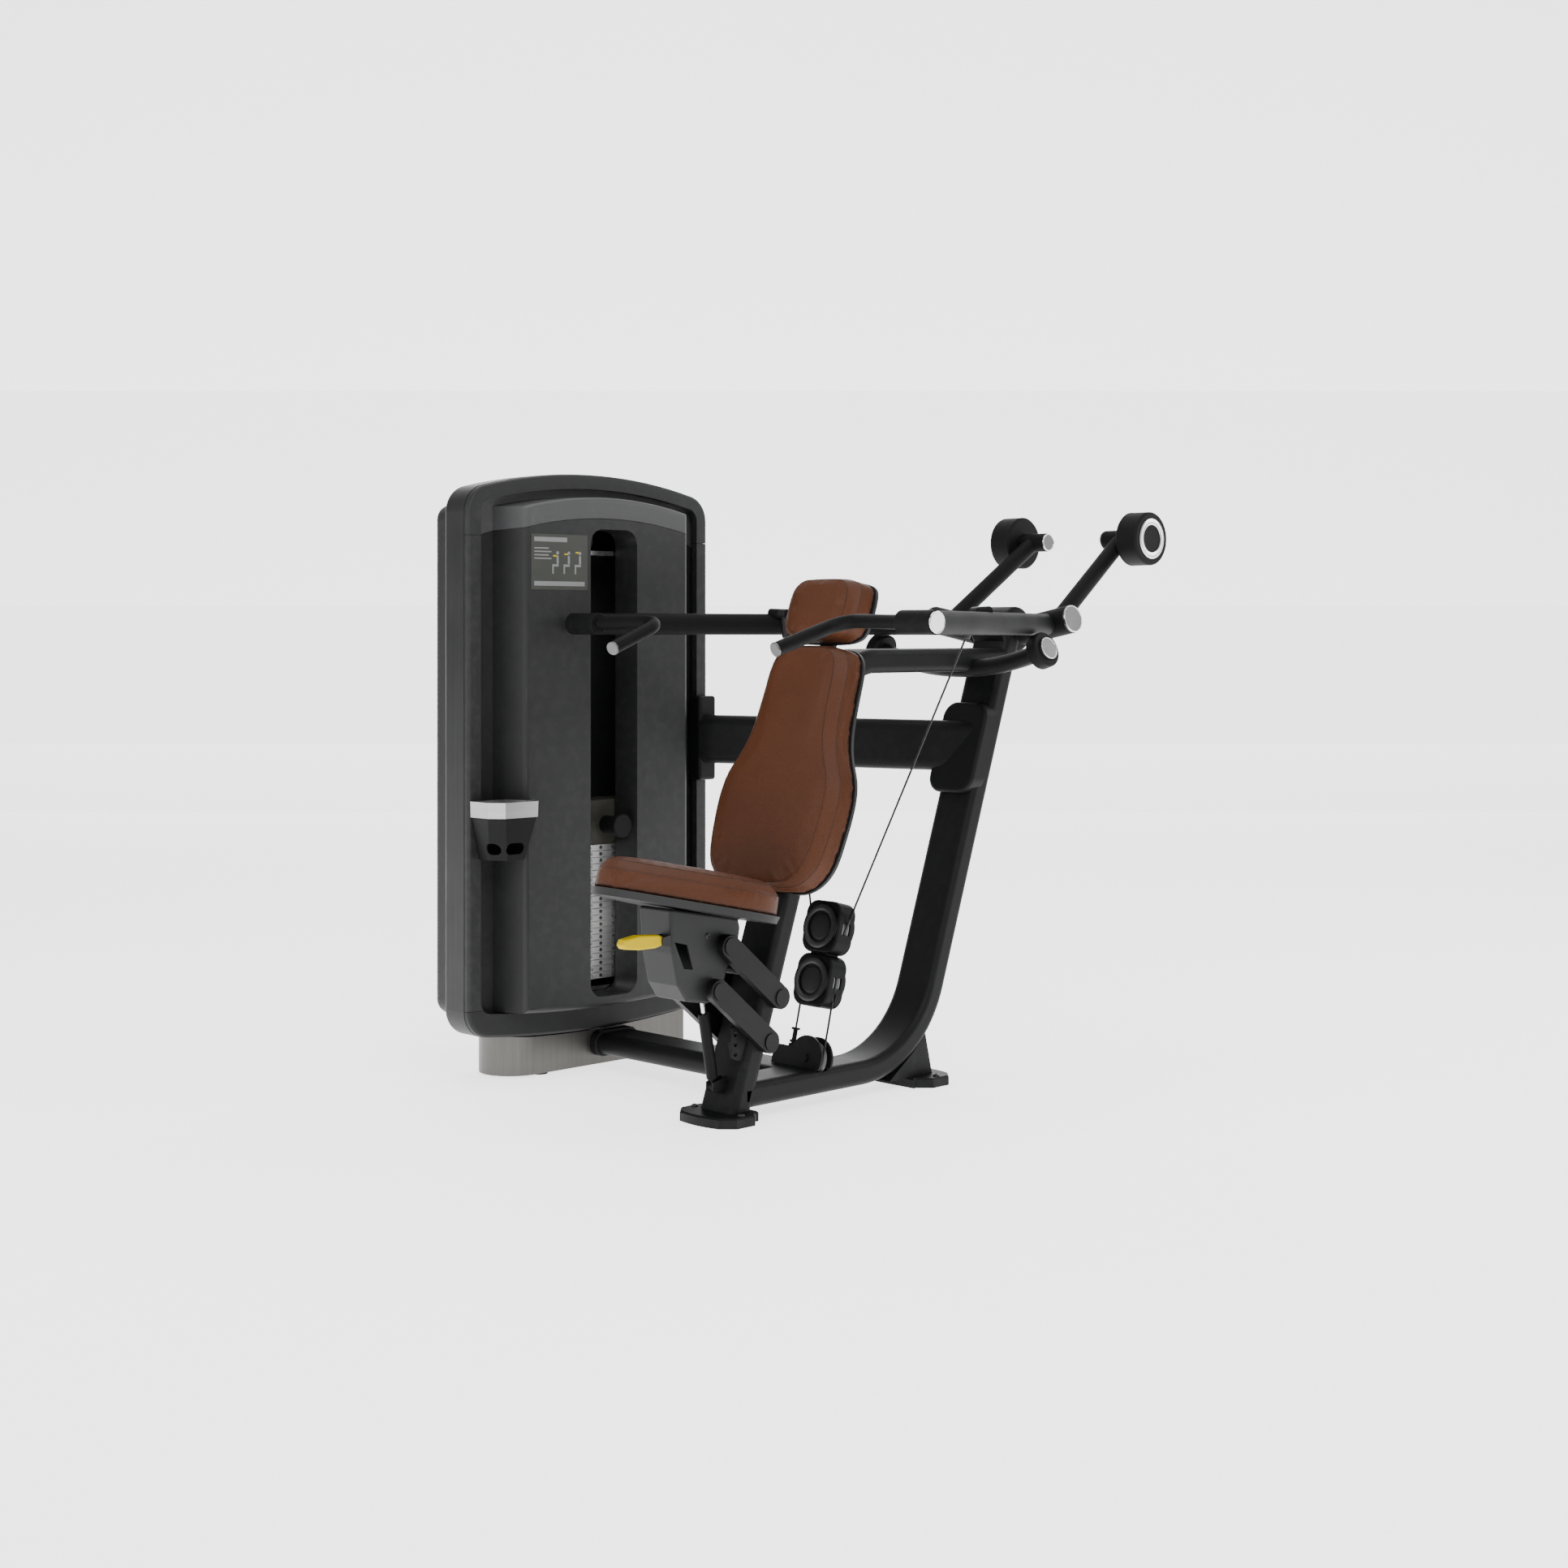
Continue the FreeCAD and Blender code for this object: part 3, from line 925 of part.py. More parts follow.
# ---------------------------------------------------------------- whole machine
def main():
    os.makedirs("parts", exist_ok=True)
    front, front_outer, rear, rear_outer, hub, feet = build_frame()
    front, links, carrier, board, pad, lever = build_seat(front)
    rear = largest(rear.cut(rail_cable_slots()))
    save("front_loop_tube", front)
    save("rear_loop_tube", rear)
    save("foot_plates", feet)
    save("pivot_hub", hub)
    save("cross_rail", build_cross_rail(rear_outer))

    beam, saddle, bracket = build_beam(rear_outer)
    save("upper_beam", beam)
    save("beam_saddle", saddle)
    save("tower_bracket", bracket)
    bow, stops, caps = build_stops(front_outer)
    save("stop_bow", bow)
    save("stop_rings", stops)
    save("stop_caps", caps)

    arm = build_arm()
    for node, shapes in arm.items():
        save(node + "_right", shapes)
        save(node + "_left", [mirror(shape) for shape in shapes])

    cowl, wheels = build_float()
    save("float_cowl", cowl)
    save("float_pulley_upper", wheels[0])
    save("float_pulley_lower", wheels[1])
    save("float_cables", build_float_cables())
    save("floor_pulley", pulley(FLOOR_PULLEY, draw_axis(), FLOOR_RIM_R, FLOOR_GROOVE_R,
                                8.0 + RUN_FIT))
    save("floor_pulley_bracket", list(build_floor_bracket()))
    save("cable_run", build_cable_run())

    band, rim, kick, rear_cover = build_tower()
    save("tower_band", band)
    save("tower_rim", rim)
    save("tower_kick", kick)
    save("rear_cover", rear_cover)
    header, panel, placard = build_panel()
    save("panel_header", header)
    save("front_panel", panel)
    save("placard", placard)
    hull, rubber_feet = build_pedestal()
    save("pedestal", hull)
    save("pedestal_feet", rubber_feet)

    save("stack_frame", build_stack_frame())
    save("weight_plates", build_plates())
    save("weight_carriage", build_carriage())
    save("selector_pin", build_selector_pin())
    save("stack_cable", build_stack_cable())
    for node, z in (("tower_top_pulley", TOWER_TOP_Z), ("tower_low_pulley", TOWER_LOW_Z)):
        save(node, pulley(V(TOWER_WHEEL_X, STACK_Y, z), V(0, 1, 0), TOWER_RIM_R, TOWER_GROOVE_R,
                          8.0 + RUN_FIT))

    lip, cup = build_tray()
    save("tray_ring", lip)
    save("tray_cup", cup)

    pads, boards = build_pads(front_outer)
    save("backrest_pad", pads[0])
    save("headrest_pad", pads[1])
    save("pad_boards", boards)
    save("seat_link_upper", links[0])
    save("seat_link_lower", links[1])
    save("seat_carrier", carrier)
    save("seat_board", board)
    save("seat_pad", pad)
    save("seat_lever", lever)
    barrel, rod = build_gas_spring()
    save("gas_cylinder", barrel)
    save("gas_rod", rod)
    save("post_brackets", [build_sector(front_outer), build_spring_foot(front_outer)])


main()
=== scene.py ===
import math

import bmesh
import bpy
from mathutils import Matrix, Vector
from mathutils.bvhtree import BVHTree


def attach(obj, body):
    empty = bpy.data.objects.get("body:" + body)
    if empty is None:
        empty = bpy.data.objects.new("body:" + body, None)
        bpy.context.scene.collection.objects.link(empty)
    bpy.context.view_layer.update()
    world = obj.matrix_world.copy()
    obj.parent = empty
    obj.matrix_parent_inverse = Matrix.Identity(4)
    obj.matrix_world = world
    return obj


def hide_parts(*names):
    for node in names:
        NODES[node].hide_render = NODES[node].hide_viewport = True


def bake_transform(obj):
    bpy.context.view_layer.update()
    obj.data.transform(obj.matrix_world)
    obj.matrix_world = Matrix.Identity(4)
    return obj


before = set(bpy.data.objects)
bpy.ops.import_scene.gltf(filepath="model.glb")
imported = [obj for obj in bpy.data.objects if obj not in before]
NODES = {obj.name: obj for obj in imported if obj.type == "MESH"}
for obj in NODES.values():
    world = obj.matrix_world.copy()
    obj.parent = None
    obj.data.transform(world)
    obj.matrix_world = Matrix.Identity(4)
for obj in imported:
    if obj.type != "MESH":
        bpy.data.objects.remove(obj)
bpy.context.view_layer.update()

# Looks of the shoulder press machine.  Metres, in the row's frame: +Z up, the user faces -Y and
# the weight cabinet stands on the -X side.
TAU = 2 * math.pi

# the layout that the machine is drawn in has X = 0 in the seat's middle plane and Y = 0 at the
# foot of the front post; SHIFT moves it into the row's frame
SHIFT = Vector((0.144, -0.5458, 0.0))
LEAN, SEAT_TILT = math.radians(19.0), math.radians(12.7)


def at(x, y, z):
    """A point of the machine's layout in millimetres, in the row's frame."""
    return Vector((x, y, z)) / 1000 + SHIFT


# ---------------------------------------------------------------- shader building
def material(name, color, roughness, metallic=0.0, specular=0.5):
    """A new material with its main shader, and the two as a pair."""
    made = bpy.data.materials.new(name)
    made.use_nodes = True
    shader = made.node_tree.nodes["Principled BSDF"]
    shader.inputs["Base Color"].default_value = (*color, 1)
    shader.inputs["Roughness"].default_value = roughness
    shader.inputs["Metallic"].default_value = metallic
    shader.inputs["Specular IOR Level"].default_value = specular
    made.diffuse_color = (*color, 1)
    return made, shader


def add(mat, kind, **settings):
    node = mat.node_tree.nodes.new(kind)
    for key, value in settings.items():
        setattr(node, key, value)
    return node


def link(mat, output, socket):
    mat.node_tree.links.new(output, socket)


def place(mat, scale=(1, 1, 1)):
    """Object coordinates, stretched by scale."""
    coordinates = add(mat, "ShaderNodeTexCoord")
    mapping = add(mat, "ShaderNodeMapping")
    mapping.inputs["Scale"].default_value = scale
    link(mat, coordinates.outputs["Object"], mapping.inputs["Vector"])
    return mapping.outputs["Vector"]


def noise_field(mat, vector, scale, detail=3.0, roughness=0.5):
    node = add(mat, "ShaderNodeTexNoise")
    node.inputs["Scale"].default_value = scale
    node.inputs["Detail"].default_value = detail
    node.inputs["Roughness"].default_value = roughness
    link(mat, vector, node.inputs["Vector"])
    return node.outputs["Fac"]


def ramp(mat, value, low, high, at_low=0.0, at_high=1.0):
    node = add(mat, "ShaderNodeMapRange")
    for key, number in (("From Min", low), ("From Max", high), ("To Min", at_low),
                        ("To Max", at_high)):
        node.inputs[key].default_value = number
    link(mat, value, node.inputs["Value"])
    return node.outputs["Result"]


def blend_colors(mat, factor, first, second):
    node = add(mat, "ShaderNodeMix", data_type="RGBA")
    link(mat, factor, node.inputs["Factor"])
    for socket, value in ((node.inputs["A"], first), (node.inputs["B"], second)):
        if isinstance(value, tuple):
            socket.default_value = (*value, 1)
        else:
            link(mat, value, socket)
    return node.outputs["Result"]


def bump(mat, shader, height, distance, strength=1.0):
    node = add(mat, "ShaderNodeBump")
    node.inputs["Distance"].default_value = distance
    node.inputs["Strength"].default_value = strength
    link(mat, height, node.inputs["Height"])
    earlier = shader.inputs["Normal"].links
    if earlier:
        link(mat, earlier[0].from_socket, node.inputs["Normal"])
    link(mat, node.outputs["Normal"], shader.inputs["Normal"])


def worn_edges(mat, low=0.52, high=0.62):
    """Share of wear: convex edges, broken up by noise."""
    geometry = add(mat, "ShaderNodeNewGeometry")
    edge = ramp(mat, geometry.outputs["Pointiness"], low, high)
    patches = ramp(mat, noise_field(mat, place(mat), 38.0, 4.0), 0.45, 0.7)
    product = add(mat, "ShaderNodeMath", operation="MULTIPLY")
    link(mat, edge, product.inputs[0])
    link(mat, patches, product.inputs[1])
    return product.outputs[0]


def powder_coat(name, color, roughness=0.42, orange_peel=0.00006, specular=0.28):
    """Baked paint: orange-peel bump, slightly cloudy gloss, faintly paler worn edges."""
    mat, shader = material(name, color, roughness, 0.0, specular)
    here = place(mat)
    cloud = noise_field(mat, here, 9.0, 4.0)
    link(mat, ramp(mat, cloud, 0.3, 0.7, roughness - 0.02, roughness + 0.03),
         shader.inputs["Roughness"])
    pale = tuple(min(1.0, c * 1.25 + 0.003) for c in color)
    dusty = tuple(min(1.0, c * 1.08) for c in color)
    base = blend_colors(mat, ramp(mat, cloud, 0.35, 0.75), color, dusty)
    link(mat, blend_colors(mat, worn_edges(mat), base, pale), shader.inputs["Base Color"])
    bump(mat, shader, noise_field(mat, here, 620.0, 2.0), orange_peel)
    return mat


def brushed_metal(name, color, roughness, stretch, grain=0.00003):
    """Metal with fine brush lines; stretch is small along the lines."""
    mat, shader = material(name, color, roughness, 1.0)
    lines = noise_field(mat, place(mat, stretch), 90.0, 6.0, 0.7)
    cloud = noise_field(mat, place(mat), 6.0, 3.0)
    tint = tuple(c * 0.86 for c in color)
    link(mat, blend_colors(mat, ramp(mat, lines, 0.3, 0.7), tint, color),
         shader.inputs["Base Color"])
    link(mat, ramp(mat, cloud, 0.3, 0.7, roughness - 0.05, roughness + 0.08),
         shader.inputs["Roughness"])
    bump(mat, shader, lines, grain)
    return mat


def moulded(name, color, roughness, texture=480.0, depth=0.00006, specular=0.28):
    """Moulded plastic or rubber with a spark-eroded surface texture."""
    mat, shader = material(name, color, roughness, 0.0, specular)
    here = place(mat)
    cloud = noise_field(mat, here, 14.0, 4.0)
    dusty = tuple(min(1.0, c * 1.1 + 0.0005) for c in color)
    link(mat, blend_colors(mat, ramp(mat, cloud, 0.4, 0.75), color, dusty),
         shader.inputs["Base Color"])
    link(mat, ramp(mat, cloud, 0.3, 0.7, roughness - 0.03, roughness + 0.03),
         shader.inputs["Roughness"])
    grain = add(mat, "ShaderNodeTexVoronoi", feature="SMOOTH_F1")
    grain.inputs["Scale"].default_value = texture
    link(mat, here, grain.inputs["Vector"])
    bump(mat, shader, grain.outputs["Distance"], depth)
    return mat


def leather(name, color, deep):
    """Upholstery leather: pebbled grain, fine pores, creases and a darker patina in the hollows."""
    mat, shader = material(name, color, 0.46, 0.0, 0.2)
    here = place(mat)
    pebble = add(mat, "ShaderNodeTexVoronoi", feature="DISTANCE_TO_EDGE")
    pebble.inputs["Scale"].default_value = 330.0
    warp = add(mat, "ShaderNodeVectorMath", operation="MULTIPLY_ADD")
    wobble = add(mat, "ShaderNodeTexNoise")
    wobble.inputs["Scale"].default_value = 90.0
    link(mat, here, wobble.inputs["Vector"])
    link(mat, wobble.outputs["Color"], warp.inputs[0])
    warp.inputs[1].default_value = (0.004, 0.004, 0.004)
    link(mat, here, warp.inputs[2])
    link(mat, warp.outputs[0], pebble.inputs["Vector"])
    patina = noise_field(mat, here, 7.0, 5.0, 0.6)
    fine = noise_field(mat, here, 900.0, 3.0)
    tone = blend_colors(mat, ramp(mat, patina, 0.3, 0.75), deep, color)
    grain = ramp(mat, pebble.outputs["Distance"], 0.0, 0.16)
    darker = tuple(c * 0.78 for c in deep)
    link(mat, blend_colors(mat, grain, darker, tone), shader.inputs["Base Color"])
    link(mat, ramp(mat, patina, 0.3, 0.7, 0.42, 0.52), shader.inputs["Roughness"])
    bump(mat, shader, fine, 0.00003)
    bump(mat, shader, grain, 0.00011)
    bump(mat, shader, noise_field(mat, here, 26.0, 4.0), 0.0005, 0.2)
    shader.inputs["Sheen Weight"].default_value = 0.01
    shader.inputs["Sheen Roughness"].default_value = 0.5
    return mat


def build_materials():
    return {
        "frame": powder_coat("frame_black_coat", (0.0052, 0.0053, 0.0056), 0.48, specular=0.12),
        "arm": powder_coat("arm_black_coat", (0.0062, 0.0063, 0.0066), 0.55, specular=0.05),
        "link": powder_coat("link_black_coat", (0.0028, 0.0028, 0.0030), 0.46, specular=0.18),
        "rim": powder_coat("cabinet_rim_coat", (0.0145, 0.0147, 0.0152), 0.46, specular=0.22),
        "kick": powder_coat("cabinet_kick_coat", (0.012, 0.0122, 0.0125), 0.48, specular=0.2),
        "panel": powder_coat("cabinet_panel_coat", (0.0135, 0.0137, 0.0142), 0.42, specular=0.25),
        "header": powder_coat("cabinet_header_coat", (0.047, 0.0475, 0.0485), 0.42),
        "band": brushed_metal("cabinet_band_satin", (0.045, 0.045, 0.046), 0.42, (1, 1, 0.03)),
        "cap": brushed_metal("cap_satin", (0.135, 0.135, 0.137), 0.36, (1, 1, 1)),
        "bright_cap": moulded("bright_cap_face", (0.93, 0.93, 0.93), 0.3, 300.0, 0.00001, 0.5),
        "plates": brushed_metal("plate_steel", (0.80, 0.805, 0.80), 0.42, (0.4, 0.03, 1)),
        "head": powder_coat("head_block_coat", (0.036, 0.036, 0.030), 0.42),
        "rods": brushed_metal("rod_chrome", (0.70, 0.70, 0.71), 0.16, (1, 1, 0.02)),
        "pedestal": brushed_metal("pedestal_brushed", (0.120, 0.115, 0.109), 0.42, (1, 1, 0.04)),
        "tray": brushed_metal("tray_satin", (0.50, 0.50, 0.51), 0.36, (0.1, 0.1, 1)),
        "rubber": moulded("rubber_black", (0.0040, 0.0040, 0.0042), 0.6, 700.0, 0.00006, 0.12),
        "grip": moulded("grip_rubber", (0.0038, 0.0038, 0.0040), 0.55, 900.0, 0.00008, 0.08),
        "board": moulded("board_plastic", (0.0070, 0.0071, 0.0074), 0.48, 420.0),
        "casing": moulded("casing_plastic", (0.0115, 0.0117, 0.0123), 0.46, 420.0, specular=0.22),
        "cup": moulded("cup_plastic", (0.0060, 0.0061, 0.0064), 0.5, 420.0, specular=0.1),
        "cowl": moulded("cowl_plastic", (0.0030, 0.0031, 0.0033), 0.5, 520.0, specular=0.1),
        "wheel": moulded("wheel_nylon", (0.10, 0.10, 0.103), 0.40, 300.0),
        "cable": moulded("cable_nylon", (0.0040, 0.0040, 0.0042), 0.40, 900.0, 0.00004),
        "placard": moulded("placard_card", (0.0345, 0.0365, 0.0320), 0.40, 260.0, 0.00002),
        "print": moulded("card_print", (0.16, 0.165, 0.16), 0.5, 260.0, 0.00001, 0.15),
        "figure": moulded("card_figure", (0.42, 0.30, 0.0), 0.5, 260.0, 0.00001, 0.15),
        "yellow": moulded("lever_yellow", (0.46, 0.33, 0.0), 0.5, 240.0, 0.00003, 0.05),
        "trim": moulded("trim_grey", (0.014, 0.0142, 0.0148), 0.36, 300.0, 0.00003, 0.4),
        "hub": moulded("hub_black", (0.0040, 0.0040, 0.0042), 0.45, 500.0),
        "bright": brushed_metal("bright_rim", (0.90, 0.90, 0.91), 0.20, (1, 1, 1)),
        "seam": moulded("seam_thread", (0.030, 0.011, 0.005), 0.55, 900.0),
        "leather": leather("leather_brown", (0.078, 0.0235, 0.0078), (0.057, 0.0165, 0.0052)),
    }


MATS = build_materials()
LOOKS = {
    "frame": ["front_loop_tube", "rear_loop_tube", "foot_plates", "pivot_hub", "cross_rail",
              "upper_beam", "beam_saddle", "tower_bracket", "stop_bow", "floor_pulley_bracket",
              "post_brackets"],
    "link": ["seat_link_upper", "seat_link_lower"],
    "arm": ["arm_right", "arm_left"],
    "rim": ["tower_rim", "rear_cover"],
    "kick": ["tower_kick"],
    "panel": ["front_panel"],
    "header": ["panel_header"],
    "band": ["tower_band"],
    "cap": ["caps_right", "caps_left", "stop_caps", "grip_cap_right", "grip_cap_left"],
    "plates": ["weight_plates"],
    "head": ["weight_carriage"],
    "rods": ["stack_frame", "gas_rod"],
    "pedestal": ["pedestal"],
    "tray": ["tray_ring"],
    "rubber": ["counterweight_right", "counterweight_left", "stop_rings", "pedestal_feet",
               "selector_pin"],
    "grip": ["grip_right", "grip_left"],
    "board": ["pad_boards", "seat_board"],
    "casing": ["seat_carrier"],
    "cup": ["tray_cup"],
    "cowl": ["float_cowl", "gas_cylinder"],
    "wheel": ["float_pulley_upper", "float_pulley_lower", "floor_pulley", "tower_top_pulley",
              "tower_low_pulley"],
    "cable": ["cable_run", "float_cables", "stack_cable", "cable_leg_right", "cable_leg_left"],
    "placard": ["placard"],
    "yellow": ["seat_lever"],
    "leather": ["backrest_pad", "headrest_pad", "seat_pad"],
}


def dress(obj, look):
    obj.data.materials.clear()
    obj.data.materials.append(MATS[look])


for look, names in LOOKS.items():
    for name in names:
        dress(NODES[name], look)


# ---------------------------------------------------------------- mesh building
def new_object(name, mesh, look):
    """A smooth-shaded object from a bmesh, in one of the materials."""
    data = bpy.data.meshes.new(name)
    mesh.normal_update()
    mesh.to_mesh(data)
    mesh.free()
    obj = bpy.data.objects.new(name, data)
    bpy.context.collection.objects.link(obj)
    data.shade_smooth()
    dress(obj, look)
    return obj


def crease(obj, degrees=35):
    """Keeps edges sharper than the angle hard."""
    obj.data.set_sharp_from_angle(angle=math.radians(degrees))
    return obj


def frame_of(axis):
    """Two unit vectors square to axis."""
    axis = axis.normalized()
    side = axis.cross(Vector((0, 0, 1)) if abs(axis.z) < 0.9 else Vector((1, 0, 0))).normalized()
    return side, axis.cross(side)


def lathe(name, centre, axis, profile, look, segments=64):
    """Turned piece: profile is (radius, height along the axis) in millimetres."""
    axis = axis.normalized()
    side, up = frame_of(axis)
    mesh = bmesh.new()
    rings = []
    for radius, height in profile:
        rings.append([mesh.verts.new(centre + (axis * height + (side * math.cos(a) + up * math.sin(a))
                                               * radius) / 1000)
                      for a in (TAU * i / segments for i in range(segments))])
    for first, second in zip(rings, rings[1:]):
        for i in range(segments):
            j = (i + 1) % segments
            mesh.faces.new((first[i], first[j], second[j], second[i]))
    for ring, closed in ((rings[0], profile[0][0]), (rings[-1], profile[-1][0])):
        if closed < 0.5:
            bmesh.ops.pointmerge(mesh, verts=ring, merge_co=sum((v.co for v in ring), Vector()) / segments)
    bmesh.ops.remove_doubles(mesh, verts=mesh.verts, dist=1e-6)
    bmesh.ops.recalc_face_normals(mesh, faces=mesh.faces)
    return crease(new_object(name, mesh, look))


def tube(name, points, radius, look, segments=16, closed=False, steps=0):
    """Round tube of radius millimetres along points, smoothed when steps is set."""
    path = smooth_path(points, steps, closed) if steps else [p.copy() for p in points]
    mesh, rings = bmesh.new(), []
    count = len(path)
    before = None
    for i, point in enumerate(path):
        ahead = path[(i + 1) % count] if closed or i + 1 < count else point
        behind = path[i - 1] if closed or i else point
        run = (ahead - behind).normalized()
        if before is None:
            side, _ = frame_of(run)
        else:
            side = (before - run * before.dot(run)).normalized()
        before = side
        up = run.cross(side)
        rings.append([mesh.verts.new(point + (side * math.cos(a) + up * math.sin(a)) * radius / 1000)
                      for a in (TAU * k / segments for k in range(segments))])
    pairs = list(zip(rings, rings[1:])) + ([(rings[-1], rings[0])] if closed else [])
    for first, second in pairs:
        for i in range(segments):
            j = (i + 1) % segments
            mesh.faces.new((first[i], first[j], second[j], second[i]))
    if not closed:
        mesh.faces.new(rings[0][::-1])
        mesh.faces.new(rings[-1])
    bmesh.ops.recalc_face_normals(mesh, faces=mesh.faces)
    return crease(new_object(name, mesh, look), 50)


def smooth_path(points, steps, closed=False):
    """Catmull-Rom curve through points, steps samples to a span."""
    count = len(points)
    spans = count if closed else count - 1
    result = []
    for i in range(spans):
        if closed:
            a, b, c, d = (points[(i + k) % count] for k in (-1, 0, 1, 2))
        else:
            a, b = points[max(i - 1, 0)], points[i]
            c, d = points[i + 1], points[min(i + 2, count - 1)]
        for k in range(steps):
            t = k / steps
            result.append(0.5 * (2 * b + (c - a) * t + (2 * a - 5 * b + 4 * c - d) * t ** 2
                                 + (3 * b - a - 3 * c + d) * t ** 3))
    if not closed:
        result.append(points[-1].copy())
    return result


def slab(name, outline, depth, look, bevel=0.0, segments=3):
    """Plate: closed outline of points pushed along the depth vector, edges rounded by bevel mm."""
    mesh = bmesh.new()
    low = [mesh.verts.new(p) for p in outline]
    high = [mesh.verts.new(p + depth) for p in outline]
    mesh.faces.new(low[::-1])
    mesh.faces.new(high)
    for i in range(len(outline)):
        j = (i + 1) % len(outline)
        mesh.faces.new((low[i], low[j], high[j], high[i]))
    bmesh.ops.recalc_face_normals(mesh, faces=mesh.faces)
    if bevel:
        edges = [e for e in mesh.edges if e.calc_face_angle(0) > 0.6]
        bmesh.ops.bevel(mesh, geom=edges, offset=bevel / 1000, segments=segments, affect="EDGES")
    return crease(new_object(name, mesh, look), 40)


# ---------------------------------------------------------------- upholstery
# outlines are (along, half width) in millimetres; the mirror image closes them
BACK_SIDE = [(570, 56), (578, 108), (602, 144), (636, 166), (690, 177), (750, 182), (806, 181),
             (850, 171), (896, 147), (944, 128), (1000, 118), (1060, 114), (1112, 111), (1150, 102),
             (1172, 80), (1181, 44)]
HEAD_SIDE = [(1212, 40), (1216, 64), (1229, 84), (1252, 94), (1290, 96), (1322, 95), (1344, 86),
             (1356, 66), (1360, 36)]
SEAT_SIDE = [(-28, 56), (-27, 122), (-20, 172), (2, 201), (44, 211), (104, 202), (168, 175),
             (236, 137), (300, 98), (350, 64), (380, 26)]


def lean_point(x, up, out):
    """Up along the post and out towards the user, from the foot of the post's centre line."""
    return at(x, 6 + up * math.sin(LEAN) - out * math.cos(LEAN),
              up * math.cos(LEAN) + out * math.sin(LEAN))


def seat_point(x, forward, out):
    c, s = math.cos(SEAT_TILT), math.sin(SEAT_TILT)
    return at(x, -8 - forward * c + out * s, 494 + forward * s + out * c)


def ring_points(side, grow, samples=9, ends=1.0):
    """Smooth closed outline, grown sideways by grow and at its two ends by ends times grow."""
    mid = (side[0][0] + side[-1][0]) / 2
    span = (side[-1][0] - side[0][0]) / 2
    points = [Vector((half + grow * min(1, half / 80),
                      mid + (along - mid) * (1 + ends * grow / span), 0)) for along, half in side]
    loop = points + [Vector((-p.x, p.y, 0)) for p in reversed(points)]
    return smooth_path(loop, samples, closed=True)


def pad_mesh(name, side, place_at, levels, crown, ends):
    """Closed pad: rings of the outline at each (out, grow), a flat back and a crowned front."""
    mesh = bmesh.new()
    rows = []
    back, front = levels[0], levels[-1]
    middle = Vector((0, (side[0][0] + side[-1][0]) / 2, 0))
    for share in (0.25, 0.5, 0.75):
        rows.append((back[0], back[1], share))
    rows += [(out, grow, 1.0) for out, grow in levels]
    for share in (0.94, 0.82, 0.66, 0.5, 0.34, 0.18, 0.06):
        rows.append((front[0] + crown * (1 - share ** 2), front[1], share))
    rings = []
    for out, grow, share in rows:
        points = [middle + (p - middle) * share for p in ring_points(side, grow, ends=ends)]
        rings.append([mesh.verts.new(place_at(p.x, p.y, out)) for p in points])
    for first, second in zip(rings, rings[1:]):
        for i in range(len(first)):
            j = (i + 1) % len(first)
            mesh.faces.new((first[i], first[j], second[j], second[i]))
    mesh.faces.new(rings[0][::-1])
    mesh.faces.new(rings[-1])
    bmesh.ops.triangulate(mesh, faces=[f for f in mesh.faces if len(f.verts) > 4])
    bmesh.ops.recalc_face_normals(mesh, faces=mesh.faces)
    return new_object(name, mesh, "leather")


def use_only(obj):
    """Makes obj the only selected and the active object."""
    bpy.ops.object.select_all(action="DESELECT")
    obj.select_set(True)
    bpy.context.view_layer.objects.active = obj


VOXEL = 0.006                         # cover's mesh size before it is stuffed


def remesh(obj, voxel):
    """An even mesh of the same shape."""
    modifier = obj.modifiers.new("remesh", "REMESH")
    modifier.mode, modifier.voxel_size = "VOXEL", voxel
    use_only(obj)
    bpy.ops.object.modifier_apply(modifier=modifier.name)


FRAMES, BOARD_DEPTH = 20, 0.007       # length of the stuffing run; how much of the back stays put


def inflate(obj, plane_point, outward, cap, pressure=4.0):
    """Blows the pad up like a stuffed cover; its back stays flat on the board."""
    rest = [v.co.copy() for v in obj.data.vertices]
    group = obj.vertex_groups.new(name="board_side")
    for v in obj.data.vertices:
        height = (v.co - plane_point).dot(outward)
        if height < BOARD_DEPTH:
            group.add([v.index], 1.0, "REPLACE")
    cloth = obj.modifiers.new("stuffing", "CLOTH")
    cloth.settings.quality = 5
    cloth.settings.mass = 0.3
    cloth.settings.tension_stiffness = 25
    cloth.settings.compression_stiffness = 25
    cloth.settings.bending_stiffness = 4
    cloth.settings.use_pressure = True
    cloth.settings.uniform_pressure_force = pressure
    cloth.settings.vertex_group_mass = group.name
    cloth.settings.effector_weights.gravity = 0
    cloth.point_cache.frame_start, cloth.point_cache.frame_end = 1, FRAMES
    scene = bpy.context.scene
    for number in range(1, FRAMES + 1):
        scene.frame_set(number)
    blown = obj.evaluated_get(bpy.context.evaluated_depsgraph_get())
    moved = [v.co.copy() for v in blown.data.vertices]
    obj.modifiers.remove(cloth)
    for v, start, end in zip(obj.data.vertices, rest, moved):
        step = end - start
        if step.length > cap:
            step *= cap / step.length
        v.co = start + step
    scene.frame_set(1)


def finish_pad(obj):
    """Evens out the remeshed surface and divides it once."""
    smooth = obj.modifiers.new("smooth", "LAPLACIANSMOOTH")
    smooth.iterations, smooth.lambda_factor = 2, 0.35
    divide = obj.modifiers.new("divide", "SUBSURF")
    divide.levels = divide.render_levels = 1
    use_only(obj)
    for modifier in (smooth.name, divide.name):
        bpy.ops.object.modifier_apply(modifier=modifier)
    obj.data.shade_smooth()


